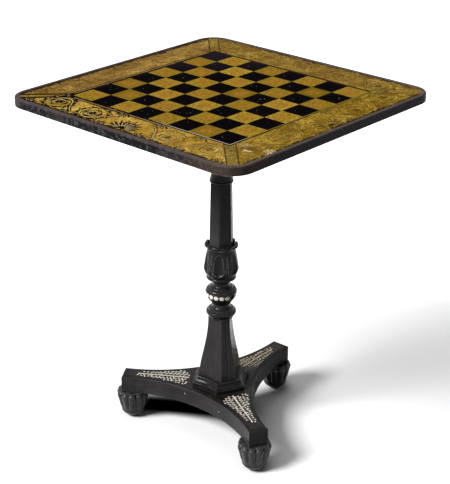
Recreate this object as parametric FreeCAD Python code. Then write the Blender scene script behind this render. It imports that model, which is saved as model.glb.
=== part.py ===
import FreeCAD, Part
import math
import os

# Games table. A square top, inlaid as a chessboard, tilts up on a block at the head of a turned
# and carved pillar. The pillar stands on a three-legged platform with carved feet.
# Millimetres. The floor is Z = 0 and the pillar's axis is the Z axis. The sides of the top lie
# along X and Y, and the top tilts about a line along X. Angles are in degrees from +X.

# ---- Whole table ----
TABLE_HEIGHT = 733.0
BASE_TURN = 3.0               # how far the legs stand off square with the top
GLUE_LINE = 0.05              # room round a glued spigot, screw or pin
RUNNING_FIT = 0.05            # room round a pin or bolt that moves
END_ROOM = 0.8                # air left past the end of a spigot, screw or pin
SCREW_TIP_LENGTH = 2.0        # a screw's sizes, as shares of its shank's radius
SCREW_TIP_RADIUS = 0.2
SCREW_SLOT_WIDTH = 0.22       # its slot, as shares of its head's radius
SCREW_SLOT_DEPTH = 0.28

# ---- Inlaid top ----
TOP_SIDE = 585.5
TOP_THICKNESS = 17.0
TOP_CORNER_RADIUS = 46.0
EDGING_WIDTH = 9.0            # dark edging all round the top
EDGING_LIP = 1.5              # how far the edging stands above the playing surface
EDGING_ROUND = 2.5            # worn outer arris
EDGING_INNER_CHAMFER = 0.8
INLAY_THICKNESS = 2.5
INLAY_JOINT = 0.1             # joint between neighbouring pieces of inlay
SQUARE_SIDE = 50.0
SQUARES_IN_ROW = 8
LIGHT_LINE_WIDTH = 2.5        # light line next to the squares
DARK_LINE_WIDTH = 4.0         # dark line outside it
MITRE_BAND_WIDTH = 18.0       # band that covers each mitre of the border
MITRE_LINE_WIDTH = 2.5        # dark line down each side of that band

# ---- Tilting block, bearers and pivot ----
BLOCK_WIDTH = 180.0           # along X, the pivot's direction
BLOCK_DEPTH = 180.0
BLOCK_THICKNESS = 34.0
BLOCK_CHAMFER = 7.0
BLOCK_GAP = 0.5               # room between the block and the underside of the top
BEARER_WIDTH = 24.0
BEARER_LENGTH = 420.0
BEARER_TAPER_LENGTH = 55.0
BEARER_END_HEIGHT = 14.0
BEARER_GAP = 0.4              # room between a bearer and the block
PIVOT_RADIUS = 5.0
PIVOT_IN_BLOCK = 26.0
PIVOT_IN_BEARER = 18.0
BEARER_SCREW_PLACES = (-0.36, 0.06, 0.36)    # shares of the bearer's length
BEARER_SCREW_BITE = 9.0       # how far a bearer's screw goes into the top
BEARER_SCREW_HEAD = 4.5
BEARER_SCREW_SHANK = 2.4

# ---- Catch ----
BOLT_RADIUS = 4.0
BOLT_THROW = 9.0              # travel of the bolt
BOLT_LENGTH = 56.0
CATCH_DROP = 14.0             # bolt's axis below the underside of the top
CATCH_SWING_GAP = 1.2         # room between the catch and the block's corner as the top swings
CATCH_PLATE_THICKNESS = 2.2
CATCH_PLATE_WIDTH = 44.0
CATCH_GUIDE_LENGTH = 12.0
CATCH_GUIDE_SPACE = 30.0      # clear length between the two guides
CATCH_GUIDE_WALL = 3.5
CATCH_SCREW_LENGTH = 11.0
CATCH_SCREW_HEAD = 3.2
CATCH_SCREW_SHANK = 1.6
KNOB_STEM_RADIUS = 2.2
KNOB_RADIUS = 5.0
KNOB_HALF_HEIGHT = 3.7
KNOB_END_RADIUS = 3.0
KNOB_END_SWELL = 0.4
KNOB_IN_BOLT = 2.0            # how far the stem goes into the bolt
KNOB_DROP = 15.0              # middle of the knob below the bolt's axis
STRIKE_WIDTH = 44.0
STRIKE_HEIGHT = 18.0
STRIKE_THICKNESS = 2.0
STRIKE_HOLE_ROOM = 0.4        # room round the bolt in the strike and its socket
STRIKE_SCREW_SPREAD = 15.0
STRIKE_SCREW_LENGTH = 15.0

# ---- Capital and neck ring ----
CAPITAL_HEIGHT = 125.0
CAPITAL_FOOT_RADIUS = 23.6
CAPITAL_BELL_RADIUS = 50.0
CAPITAL_CAP_RADIUS = 58.0
CAPITAL_CAP_HEIGHT = 17.0
CAPITAL_BELL_SWELL = 15.0     # depth of the bell's hollow curve
CAPITAL_FILLET_HEIGHT = 4.2   # plain band at the top of the bell
CAPITAL_STEP_HEIGHT = 2.6     # slope from that band out to the cap
CAPITAL_CAP_SWELL = 3.4
TENON_RADIUS = 17.0           # capital's tenon, up through the block
TENON_SHORT = 1.0             # how far the tenon stops below the block's top
WEDGE_LENGTH = 26.0
WEDGE_THICKNESS = 3.0
WEDGE_TIP_THICKNESS = 0.8
WEDGE_DEPTH = 20.0
NECK_RING_RADIUS = 24.2
NECK_RING_HEIGHT = 6.0
NECK_RING_SWELL = 2.4

# ---- Upper shaft, six-sided ----
SHAFT_SIDES = 6
SHAFT_TOP_RADIUS = 23.0       # to the arrises
SHAFT_FOOT_RADIUS = 26.2
SHAFT_ARRIS_ROUND = 1.0
SPIGOT_RADIUS = 12.0
SPIGOT_DEPTH = 18.0           # how far a spigot goes into the last piece it enters

# ---- Tulip collar ----
PETALS = 6
TULIP_FOOT_RADIUS = 16.8
TULIP_LIP_RADIUS = 30.7
TULIP_LIP_HEIGHT = 13.8       # top of the lip above the collar's foot
TULIP_LIP_THICKNESS = 4.2
TULIP_LIP_SWELL = 0.9
TULIP_LIP_COVE = 2.2          # depth of the hollow curve under the lip
TULIP_QUIRK_HEIGHT = 3.2      # small hollow from the lip up to where the petals start
TULIP_QUIRK_DEPTH = 0.8
TULIP_QUIRK_COVE = 0.4
TULIP_FLANK_SWELL = 1.0       # of the petals, from their foot up to the belly
TULIP_BELLY_RADIUS = 35.0     # foot and head of the rounded belly
TULIP_BELLY_HEIGHT = 32.2     # middle of the belly
TULIP_BELLY_THICKNESS = 7.6
TULIP_BELLY_SWELL = 0.6
TULIP_WAIST_RADIUS = 28.9     # under the curled tips
TULIP_WAIST_HEIGHT = 73.5
TULIP_WAIST_SWELL = 0.4
TULIP_TIP_RADIUS = 33.9       # foot and head of the tips' rounded outer edge
TULIP_TIP_HEIGHT = 82.0       # middle of that edge
TULIP_TIP_THICKNESS = 4.8
TULIP_TIP_SWELL = 0.8
TULIP_TIP_COVE = 1.6          # depth of the hollow curve under a tip
TULIP_CREST_RADIUS = 29.2     # where a tip turns over
TULIP_CREST_HEIGHT = 88.4
TULIP_CREST_SWELL = 1.0
TULIP_RIM_DROP = 0.6          # from the crest down to the cup's inner edge
TULIP_FLOOR_HEIGHT = 66.0     # floor of the cup that the shaft stands on
TULIP_CUP_GAP = 0.6           # room between the shaft's arrises and the cup's wall
TULIP_CUP_FLARE = 0.6
HOLLOW_RADIUS = 16.0          # scooped hollow between two petals
HOLLOW_FLOOR_RADIUS = 28.4    # its floor's distance from the pillar's axis
HOLLOW_FOOT_HEIGHT = 36.0     # middle of the round end at its foot
HOLLOW_HEAD_HEIGHT = 65.0     # and of the one at its head
VEIN_FOOT_RADIUS = 3.2        # groove down the middle of a petal
VEIN_RADIUS = 2.4
VEIN_HEAD_RADIUS = 1.1
VEIN_RUN_OUT = 0.3            # how far its cutter stands clear of the waist
VEIN_DEPTH = 1.7
VEIN_FOOT_HEIGHT = 21.0
NOTCH_WIDTH = 24.0            # arched gap between two petals' tips, seen from the side
NOTCH_DEPTH = 10.4
NOTCH_TOP_ROOM = 0.3          # how far the cutters stand past the tips
TIP_ROUND = 16.5              # radius of a tip's outline, seen from above

# ---- Knop with bone studs ----
KNOP_HEIGHT = 50.4
KNOP_FOOT_RADIUS = 16.6
KNOP_FOOT_FILLET = 1.6        # height of the plain foot
KNOP_SLOPE_RADIUS = 29.4      # top of the slope below the band of studs
KNOP_SLOPE_HEIGHT = 18.0
KNOP_SLOPE_SWELL = 0.9
BAND_RADIUS = 30.0            # upright band that the studs are let into
BAND_FOOT = 19.2
BAND_HEIGHT = 10.6
KNOP_RIM_RADIUS = 31.9        # rounded rim above the band
KNOP_RIM_HEIGHT = 2.4
KNOP_RIM_SWELL = 0.7
KNOP_RIDGE_RADIUS = 29.3      # ridge between the rim and the dished upper face
KNOP_RIDGE_HEIGHT = 36.8
KNOP_RIDGE_SWELL = 0.4
KNOP_DISH_RADIUS = 24.2       # inner edge of that face, at a small bead
KNOP_DISH_HEIGHT = 38.8
KNOP_DISH_DEPTH = 0.5
KNOP_BEAD_RADIUS = 21.8
KNOP_BEAD_HEIGHT = 41.2
KNOP_BEAD_SWELL = 0.5
KNOP_NECK_HEIGHT = 45.6
KNOP_NECK_COVE = 1.2          # depth of the hollow curve above the bead
STUDS_IN_RING = 16
STUDS_LOST = (0,)             # studs that have fallen out of their pockets
STUD_HEIGHT = 24.6            # middle of the studs above the knop's foot
STUD_RADIUS = 4.8
STUD_PROUD = 1.3
STUD_DEPTH = 2.2
STUD_CROWN = 0.9
STUD_CROWN_RADIUS = 3.4       # flat of the crown

# ---- Ring under the knop ----
RING_HEIGHT = 27.6
RING_RADIUS = 31.1
RING_FOOT_RADIUS = 25.2
RING_FOOT_HEIGHT = 2.4        # height of the plain foot
RING_NOSE_FOOT = 7.6          # foot and head of the rounded nose
RING_NOSE_HEAD = 15.0
RING_NOSE_SWELL = 1.3
RING_FLANK_SWELL = 0.2
RING_RIDGE_RADIUS = 26.6      # thin ridge between the ring and the hollow above it
RING_RIDGE_HEIGHT = 19.4
RING_RIDGE_THICKNESS = 2.6
RING_RIDGE_LEAN = 1.0
RING_SCOTIA = 1.8             # depth of that hollow
RING_NECK_FILLET = 2.4

# ---- Lower shaft, a triangle with its corners cut off ----
LOWER_SHAFT_HEIGHT = 133.0
LOWER_SHAFT_TOP_RADIUS = 26.9
LOWER_SHAFT_FOOT_RADIUS = 46.5
LOWER_SHAFT_HALF_CORNER = 20.0               # degrees each side of a leg's direction
LOWER_SHAFT_SECTIONS = 8
LOWER_SHAFT_FLARE_LIFT = 0.83                # under 1, the flare starts lower down
LOWER_SHAFT_GROOVE_WIDTH = 3.2               # groove down each cut corner
LOWER_SHAFT_GROOVE_DEPTH = 1.1

# ---- Plinth ----
SLAB_HEIGHT = 7.5
SLAB_RADIUS = 63.0            # to the corners of its six sides
SLAB_BOW = 2.9                # how far the sides over the legs swell
SLAB_HOLLOW = 3.4             # how far the sides between the legs are hollowed
SLAB_ROUND = 1.5
MOULDING_HEIGHT = 13.5
MOULDING_FOOT_RADIUS = 60.0
MOULDING_FOOT_HEIGHT = 1.8
MOULDING_BEAD_RADIUS = 52.0
MOULDING_BEAD_HEIGHT = 4.0
MOULDING_COVE_STEPS = 3
MOULDING_BEAD_STEPS = 5

# ---- Platform ----
PLATFORM_THICKNESS = 37.0
LEG_REACH = 210.5             # from the axis to the end of a leg
LEG_HALF_WIDTH = 20.2         # at its end
HOLLOW_SIDE_REACH = 71.0      # from the axis to the middle of a hollow side
PLATFORM_ROUND = 3.0
PLATFORM_FOOT_CHAMFER = 1.5
QUIRK_INSET = 5.5             # groove round the upper face
QUIRK_WIDTH = 1.3
QUIRK_DEPTH = 1.0
PANEL_INSET = 8.5             # from the platform's edge to an inlaid panel
PANEL_END_INSET = 15.0        # from the leg's end to the panel
PANEL_START_RADIUS = 67.0
PANEL_THICKNESS = 2.0

# ---- Feet ----
FOOT_HEIGHT = 63.0            # top of the curled tips
FOOT_INSET = 20.0             # from the leg's end to the foot's middle
FOOT_REST_RADIUS = 12.0
FOOT_DISC_RADIUS = 14.8       # plain disc under the bowl
FOOT_DISC_HEIGHT = 5.2
FOOT_DISC_SWELL = 0.6
FOOT_BOWL_FOOT_RADIUS = 16.2
FOOT_BOWL_FOOT_HEIGHT = 6.0
FOOT_BOWL_RADIUS = 25.8
FOOT_BOWL_HEIGHT = 16.5       # where the bowl turns upright
FOOT_BOWL_SWELL = 1.9
FOOT_BOWL_TOP_RADIUS = 26.2
FOOT_BOWL_TOP = 30.0          # the bowl goes on, unseen, up into the lobes
FOOT_LOBES = 11
FOOT_TURNS = {"back": 0.5, "left": 0.0, "front": 0.0}    # how far each is turned, as a share of a lobe
FOOT_LOBE_LEVELS = (          # radius, height and depth of the creases, from the lobes' feet up
    (26.2, 22.4, 1.4),
    (27.8, 25.4, 2.4),
    (29.4, 30.4, 3.2),
    (31.2, 39.0, 3.6),
    (33.2, 46.4, 3.8),
    (34.6, 52.8, 4.0),
    (33.6, 57.0, 4.8),
    (30.6, 59.6, 5.4),
)
FOOT_BEAD_LEVELS = (          # the same for the curled tips at the lobes' heads
    (29.6, 58.2, 3.6),
    (32.0, 60.0, 3.8),
    (32.2, 61.6, 3.8),
    (30.6, FOOT_HEIGHT, 3.4),
)
FOOT_SPIGOT_RADIUS = 9.0
FOOT_SPIGOT_LENGTH = 24.0

# ---- Bolt through the base ----
TIE_RADIUS = 6.0
TIE_IN_SHAFT = 62.0
TIE_HOLE_ROOM = 0.4
TIE_HEAD_ACROSS = 18.0
TIE_HEAD_HEIGHT = 7.0
TIE_HEAD_SIDES = 6
WASHER_RADIUS = 20.0
WASHER_THICKNESS = 3.0

# ---- Heights worked out from the pieces, floor upwards ----
PLATFORM_Z = FOOT_HEIGHT
SLAB_Z = PLATFORM_Z + PLATFORM_THICKNESS
MOULDING_Z = SLAB_Z + SLAB_HEIGHT
LOWER_SHAFT_Z = MOULDING_Z + MOULDING_HEIGHT
RING_Z = LOWER_SHAFT_Z + LOWER_SHAFT_HEIGHT
KNOP_Z = RING_Z + RING_HEIGHT
TULIP_Z = KNOP_Z + KNOP_HEIGHT
SHAFT_Z = TULIP_Z + TULIP_FLOOR_HEIGHT
# The six-sided shaft takes up what height is left below the top.
TOP_UNDER_Z = TABLE_HEIGHT - TOP_THICKNESS
BLOCK_TOP_Z = TOP_UNDER_Z - BLOCK_GAP
BLOCK_Z = BLOCK_TOP_Z - BLOCK_THICKNESS
CAPITAL_Z = BLOCK_Z - CAPITAL_HEIGHT
NECK_RING_Z = CAPITAL_Z - NECK_RING_HEIGHT
SHAFT_HEIGHT = NECK_RING_Z - SHAFT_Z
PLAY_Z = TABLE_HEIGHT - EDGING_LIP
INLAY_Z = PLAY_Z - INLAY_THICKNESS

# ---- Places worked out from the sizes ----
FOOT_CIRCLE_RADIUS = LEG_REACH - FOOT_INSET   # from the pillar's axis to each foot's middle
INNER_SIDE = TOP_SIDE - 2 * EDGING_WIDTH
INNER_CORNER_RADIUS = TOP_CORNER_RADIUS - EDGING_WIDTH
BOARD_HALF = SQUARES_IN_ROW * SQUARE_SIDE / 2
LIGHT_LINE_OUTER = BOARD_HALF + LIGHT_LINE_WIDTH
DARK_LINE_OUTER = LIGHT_LINE_OUTER + DARK_LINE_WIDTH
PIVOT_Z = BLOCK_TOP_Z - BLOCK_THICKNESS / 2
PIVOT_Y = -BLOCK_DEPTH / 2 + BLOCK_THICKNESS / 2
BEARER_X = BLOCK_WIDTH / 2 + BEARER_GAP + BEARER_WIDTH / 2
BOLT_Z = TOP_UNDER_Z - CATCH_DROP
BLOCK_SWING = math.hypot(BLOCK_DEPTH / 2 - PIVOT_Y, BLOCK_THICKNESS / 2)
CATCH_Y = PIVOT_Y + BLOCK_SWING + CATCH_SWING_GAP
CATCH_LENGTH = 2 * CATCH_GUIDE_LENGTH + CATCH_GUIDE_SPACE
KNOB_Y = CATCH_Y + CATCH_GUIDE_LENGTH + BOLT_THROW + 2 * KNOB_STEM_RADIUS
LEG_TO_HOLLOW = 60.0          # degrees from a leg's direction to the middle of a hollow side
LEG_TO_CORNER = LEG_TO_HOLLOW / 2            # and to a corner of a six-sided piece
LEG_ANGLES = {
    "back": 90.0 + BASE_TURN,
    "left": 210.0 + BASE_TURN,
    "front": 330.0 + BASE_TURN,
}
SIDE_ANGLES = {"right": 0.0, "back": 90.0, "left": 180.0, "front": 270.0}

UP = FreeCAD.Vector(0, 0, 1)
ORIGIN = FreeCAD.Vector(0, 0, 0)


# ---------------------------------------------------------------- helpers
def polar(radius, angle, z=0.0):
    """Point at a radius and an angle round the pillar's axis."""
    turn = math.radians(angle)
    return FreeCAD.Vector(radius * math.cos(turn), radius * math.sin(turn), z)


def closed_profile(points):
    """Face in the XZ plane from (radius, height) or (radius, height, swell) points.

    A swell bends the edge that arrives at its point, to the right of the way it runs.
    """
    edges = []
    for index, point in enumerate(points):
        start = FreeCAD.Vector(points[index - 1][0], 0, points[index - 1][1])
        end = FreeCAD.Vector(point[0], 0, point[1])
        if len(point) == 3 and point[2]:
            run = end.sub(start)
            right = FreeCAD.Vector(run.z, 0, -run.x).normalize()
            middle = start.add(end).multiply(0.5).add(right.multiply(point[2]))
            edges.append(Part.Arc(start, middle, end).toShape())
        else:
            edges.append(Part.LineSegment(start, end).toShape())
    return Part.Face(Part.Wire(edges))


def turned(points, z=0.0):
    """Solid of revolution about the pillar's axis, lifted to height z."""
    solid = closed_profile(points).revolve(ORIGIN, UP, 360)
    solid.translate(FreeCAD.Vector(0, 0, z))
    return solid


def upright(radius, z, height):
    """Upright cylinder on the pillar's axis."""
    return Part.makeCylinder(radius, height, FreeCAD.Vector(0, 0, z))


def prism(points, z, height):
    """Upright prism on a flat outline of (x, y) points."""
    corners = [FreeCAD.Vector(x, y, z) for x, y in points]
    return Part.Face(Part.makePolygon(corners + corners[:1])).extrude(UP * height)


def centred_box(width, depth, height, x, y, z):
    """Box centred on x and y, with its foot at z."""
    corner = FreeCAD.Vector(x - width / 2, y - depth / 2, z)
    return Part.makeBox(width, depth, height, corner)


def rounded_square(side, radius, z, height):
    """Square plate with round corners."""
    half = side / 2
    inner = half - radius
    edges = []
    for quarter in range(4):
        angle = 90.0 * quarter
        centre = FreeCAD.Vector(inner, inner, z)
        side_start = FreeCAD.Vector(half, -inner, z)
        side_end = FreeCAD.Vector(half, inner, z)
        arc_middle = centre.add(polar(radius, 45.0))
        arc_end = FreeCAD.Vector(inner, half, z)
        line = Part.LineSegment(side_start, side_end).toShape()
        arc = Part.Arc(side_end, arc_middle, arc_end).toShape()
        for edge in (line, arc):
            edge.rotate(ORIGIN, UP, angle)
            edges.append(edge)
    return Part.Face(Part.Wire(edges)).extrude(UP * height)


def turned_about(shape, angle):
    """Copy of a shape turned about the pillar's axis."""
    copy = shape.copy()
    copy.rotate(ORIGIN, UP, angle)
    return copy


def wood_screw(head, shank, length, room=0.0):
    """Countersunk screw pointing up, the face of its head at Z = 0.

    With room, it is the hole that the screw fits.
    """
    body = turned([
        (0, 0),
        (head + room, 0),
        (shank + room, head - shank),
        (shank + room, length - shank * SCREW_TIP_LENGTH),
        (shank * SCREW_TIP_RADIUS + room, length + room),
        (0, length + room),
    ])
    if room:
        return body
    slot = centred_box(2 * head, head * SCREW_SLOT_WIDTH, head * SCREW_SLOT_DEPTH, 0, 0, 0)
    return body.cut(slot)


def edges_at(shape, height):
    """Edges of a shape that lie flat at a height."""
    tolerance = 1e-4
    return [
        edge for edge in shape.Edges
        if max(abs(vertex.Z - height) for vertex in edge.Vertexes) < tolerance
    ]


def reach_of(edge):
    """Farthest that an edge's ends stand off the axis, along X or Y."""
    return max(max(abs(vertex.X), abs(vertex.Y)) for vertex in edge.Vertexes)


def write(node, solids):
    """Write one sub-part, made of one solid or several."""
    shape = Part.makeCompound(solids) if isinstance(solids, list) else solids
    shape.exportStep("parts/" + node + ".step")


# ---------------------------------------------------------------- inlaid top
def side_sector(angle, z, height):
    """Quarter of the top that belongs to the side facing an angle."""
    reach = TOP_SIDE
    return turned_about(prism([(0, 0), (reach, -reach), (reach, reach)], z, height), angle)


def top_board():
    """Ground board that carries the inlay, the edging and the bearers."""
    board = rounded_square(INNER_SIDE, INNER_CORNER_RADIUS, TOP_UNDER_Z, INLAY_Z - TOP_UNDER_Z)
    for x, y in bearer_screw_places():
        board = board.cut(bearer_screw(x, y, GLUE_LINE))
    for x, y in catch_screw_places():
        board = board.cut(catch_screw(x, y, GLUE_LINE))
    return board


def edging(angle):
    """One side's length of edging, mitred at the middles of the two corners."""
    outer = rounded_square(TOP_SIDE, TOP_CORNER_RADIUS, TOP_UNDER_Z, TOP_THICKNESS)
    outer = outer.makeFillet(EDGING_ROUND, edges_at(outer, TABLE_HEIGHT))
    ring = outer.cut(rounded_square(INNER_SIDE, INNER_CORNER_RADIUS, TOP_UNDER_Z, TOP_THICKNESS))
    inner_reach = INNER_SIDE / 2 + EDGING_INNER_CHAMFER
    inner_arris = [edge for edge in edges_at(ring, TABLE_HEIGHT) if reach_of(edge) < inner_reach]
    ring = ring.makeChamfer(EDGING_INNER_CHAMFER, inner_arris)
    return ring.common(side_sector(angle, TOP_UNDER_Z, TOP_THICKNESS))


def board_squares(dark):
    """Squares of one colour. The corner squares at front right and back left are dark."""
    side = SQUARE_SIDE - INLAY_JOINT
    squares = []
    for column in range(SQUARES_IN_ROW):
        for row in range(SQUARES_IN_ROW):
            if (column + row) % 2 == (1 if dark else 0):
                x = (column + 0.5) * SQUARE_SIDE - BOARD_HALF
                y = (row + 0.5) * SQUARE_SIDE - BOARD_HALF
                squares.append(centred_box(side, side, INLAY_THICKNESS, x, y, INLAY_Z))
    return squares


def mitred_strips(inner, outer):
    """Four strips of inlay that frame a square, mitred at its corners."""
    near = inner + INLAY_JOINT / 2
    far = outer - INLAY_JOINT / 2
    joint = INLAY_JOINT / 2
    outline = [(near, joint - near), (far, joint - far), (far, far - joint), (near, near - joint)]
    strip = prism(outline, INLAY_Z, INLAY_THICKNESS)
    return [turned_about(strip, angle) for angle in SIDE_ANGLES.values()]


def border_field():
    """Everything between the lines round the board and the edging."""
    side = INNER_SIDE - 2 * INLAY_JOINT
    field = rounded_square(side, INNER_CORNER_RADIUS - INLAY_JOINT, INLAY_Z, INLAY_THICKNESS)
    board = 2 * DARK_LINE_OUTER + INLAY_JOINT
    return field.cut(centred_box(board, board, INLAY_THICKNESS, 0, 0, INLAY_Z))


def mitre_strip(offset, width):
    """Strip along the mitre at the corner to the +X +Y side, set off to one side of it."""
    reach = TOP_SIDE
    strip = Part.makeBox(reach, width, INLAY_THICKNESS, FreeCAD.Vector(0, offset - width / 2, INLAY_Z))
    return turned_about(strip, 45.0)


def mitre_bands():
    """Light band over each of the border's four mitres."""
    band = border_field().common(mitre_strip(0.0, MITRE_BAND_WIDTH))
    return [turned_about(band, angle) for angle in SIDE_ANGLES.values()]


def mitre_lines():
    """Dark line down both sides of each mitre band."""
    offset = MITRE_BAND_WIDTH / 2 + INLAY_JOINT + MITRE_LINE_WIDTH / 2
    field = border_field()
    pair = [field.common(mitre_strip(side * offset, MITRE_LINE_WIDTH)) for side in (-1, 1)]
    return [turned_about(line, angle) for angle in SIDE_ANGLES.values() for line in pair]


def border_panel(angle):
    """Ornamented panel of the border along one side of the board."""
    covered = MITRE_BAND_WIDTH + 2 * MITRE_LINE_WIDTH + 4 * INLAY_JOINT
    panel = border_field().common(side_sector(angle, INLAY_Z, INLAY_THICKNESS))
    for corner in (angle, angle - 90.0):
        panel = panel.cut(turned_about(mitre_strip(0.0, covered), corner))
    return panel


# ---------------------------------------------------------------- bearers, pivot and block
def bearer_screw_places():
    """(x, y) of each bearer screw."""
    return [(side * BEARER_X, share * BEARER_LENGTH) for side in (-1, 1) for share in BEARER_SCREW_PLACES]


def bearer_screw(x, y, room=0.0):
    """Screw up through a bearer into the top, or the hole for it."""
    screw = wood_screw(BEARER_SCREW_HEAD, BEARER_SCREW_SHANK, BLOCK_THICKNESS + BEARER_SCREW_BITE, room)
    screw.translate(FreeCAD.Vector(x, y, TOP_UNDER_Z - BLOCK_THICKNESS))
    return screw


def bearer(side):
    """Bearer under the top, with tapered ends and a blind hole for the pivot pin."""
    half = BEARER_LENGTH / 2
    foot = TOP_UNDER_Z - BLOCK_THICKNESS
    end_foot = TOP_UNDER_Z - BEARER_END_HEIGHT
    taper = half - BEARER_TAPER_LENGTH
    outline = [
        (-half, TOP_UNDER_Z), (-half, end_foot), (-taper, foot),
        (taper, foot), (half, end_foot), (half, TOP_UNDER_Z),
    ]
    x = side * BEARER_X - BEARER_WIDTH / 2
    corners = [FreeCAD.Vector(x, y, z) for y, z in outline]
    body = Part.Face(Part.makePolygon(corners + corners[:1])).extrude(FreeCAD.Vector(BEARER_WIDTH, 0, 0))
    depth = PIVOT_IN_BEARER + END_ROOM
    face = BEARER_X - BEARER_WIDTH / 2
    start = FreeCAD.Vector(side * face, PIVOT_Y, PIVOT_Z)
    hole = Part.makeCylinder(PIVOT_RADIUS + RUNNING_FIT, depth, start, FreeCAD.Vector(side, 0, 0))
    body = body.cut(hole)
    for screw_x, screw_y in bearer_screw_places():
        if screw_x * side > 0:
            body = body.cut(bearer_screw(screw_x, screw_y, GLUE_LINE))
    return body


def pivot_pin(side, room=0.0, past_end=0.0):
    """Pin that the top tilts on, or the hole for it in the block."""
    inner = BLOCK_WIDTH / 2 - PIVOT_IN_BLOCK - past_end
    outer = BLOCK_WIDTH / 2 + BEARER_GAP + PIVOT_IN_BEARER
    start = FreeCAD.Vector(side * inner, PIVOT_Y, PIVOT_Z)
    return Part.makeCylinder(PIVOT_RADIUS + room, outer - inner, start, FreeCAD.Vector(side, 0, 0))


def tilt_block():
    """Block at the pillar's head. Its pivot edge is rounded about the pins' axis."""
    depth = BLOCK_DEPTH / 2 - PIVOT_Y
    block = centred_box(BLOCK_WIDTH, depth, BLOCK_THICKNESS, 0, PIVOT_Y + depth / 2, BLOCK_Z)
    ends = [
        edge for edge in edges_at(block, BLOCK_Z)
        if edge.BoundBox.YMin > PIVOT_Y + depth / 2
    ]
    block = block.makeChamfer(BLOCK_CHAMFER, ends)
    nose_start = FreeCAD.Vector(-BLOCK_WIDTH / 2, PIVOT_Y, PIVOT_Z)
    nose = Part.makeCylinder(BLOCK_THICKNESS / 2, BLOCK_WIDTH, nose_start, FreeCAD.Vector(1, 0, 0))
    block = block.fuse(nose).removeSplitter()
    block = block.cut(upright(TENON_RADIUS + GLUE_LINE, BLOCK_Z, BLOCK_THICKNESS))
    for side in (-1, 1):
        block = block.cut(pivot_pin(side, GLUE_LINE, END_ROOM))
    block = block.cut(strike_body(INLAY_JOINT))
    socket = BOLT_RADIUS + STRIKE_HOLE_ROOM
    reach = BOLT_THROW + END_ROOM
    block = block.cut(along_bolt(socket, BLOCK_DEPTH / 2 - reach, reach))
    for x in strike_screw_places():
        block = block.cut(strike_screw(x, GLUE_LINE))
    return block


# ---------------------------------------------------------------- catch
def along_bolt(radius, y, length):
    """Cylinder on the catch bolt's axis, from y towards +Y."""
    return Part.makeCylinder(radius, length, FreeCAD.Vector(0, y, BOLT_Z), FreeCAD.Vector(0, 1, 0))


def strike_body(room=0.0):
    """Plate of the strike, let into the block's back edge, or the recess for it."""
    y = BLOCK_DEPTH / 2 - STRIKE_THICKNESS
    corner = FreeCAD.Vector(-STRIKE_WIDTH / 2 - room, y, BOLT_Z - STRIKE_HEIGHT / 2 - room)
    return Part.makeBox(STRIKE_WIDTH + 2 * room, STRIKE_THICKNESS, STRIKE_HEIGHT + 2 * room, corner)


def strike_screw_places():
    """x of each strike screw."""
    return [-STRIKE_SCREW_SPREAD, STRIKE_SCREW_SPREAD]


def strike_screw(x, room=0.0):
    """Screw through the strike into the block, or the hole for it."""
    screw = wood_screw(CATCH_SCREW_HEAD, CATCH_SCREW_SHANK, STRIKE_SCREW_LENGTH, room)
    screw.rotate(ORIGIN, FreeCAD.Vector(1, 0, 0), 90)
    screw.translate(FreeCAD.Vector(x, BLOCK_DEPTH / 2, BOLT_Z))
    return screw


def strike_plate():
    """Brass strike with a hole for the bolt."""
    plate = strike_body()
    hole = BOLT_RADIUS + STRIKE_HOLE_ROOM
    plate = plate.cut(along_bolt(hole, BLOCK_DEPTH / 2 - STRIKE_THICKNESS, STRIKE_THICKNESS))
    for x in strike_screw_places():
        plate = plate.cut(strike_screw(x, GLUE_LINE))
    return plate


def catch_screw_places():
    """(x, y) of each screw that holds the catch's case to the top."""
    x = CATCH_PLATE_WIDTH / 2 - 2 * CATCH_SCREW_HEAD
    inset = 2 * CATCH_SCREW_HEAD
    return [(side * x, CATCH_Y + y) for side in (-1, 1) for y in (inset, CATCH_LENGTH - inset)]


def catch_screw(x, y, room=0.0):
    """Screw through the catch's case into the top, or the hole for it."""
    screw = wood_screw(CATCH_SCREW_HEAD, CATCH_SCREW_SHANK, CATCH_SCREW_LENGTH, room)
    screw.translate(FreeCAD.Vector(x, y, TOP_UNDER_Z - CATCH_PLATE_THICKNESS))
    return screw


def catch_case():
    """Brass plate under the top, with two guides that the bolt slides in."""
    plate_z = TOP_UNDER_Z - CATCH_PLATE_THICKNESS
    middle = CATCH_Y + CATCH_LENGTH / 2
    case = centred_box(CATCH_PLATE_WIDTH, CATCH_LENGTH, CATCH_PLATE_THICKNESS, 0, middle, plate_z)
    outside = BOLT_RADIUS + CATCH_GUIDE_WALL
    for y in (CATCH_Y, CATCH_Y + CATCH_LENGTH - CATCH_GUIDE_LENGTH):
        corner = FreeCAD.Vector(-outside, y, BOLT_Z)
        web = Part.makeBox(2 * outside, CATCH_GUIDE_LENGTH, plate_z - BOLT_Z, corner)
        case = case.fuse([web, along_bolt(outside, y, CATCH_GUIDE_LENGTH)])
    case = case.removeSplitter()
    case = case.cut(along_bolt(BOLT_RADIUS + RUNNING_FIT, CATCH_Y, CATCH_LENGTH))
    for x, y in catch_screw_places():
        case = case.cut(catch_screw(x, y, GLUE_LINE))
    return case


def knob_stem(room=0.0):
    """Stem of the knob, screwed into the underside of the bolt, or the hole for it."""
    start = FreeCAD.Vector(0, KNOB_Y, BOLT_Z - KNOB_DROP)
    length = KNOB_DROP - BOLT_RADIUS + KNOB_IN_BOLT
    return Part.makeCylinder(KNOB_STEM_RADIUS + room, length, start)


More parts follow.
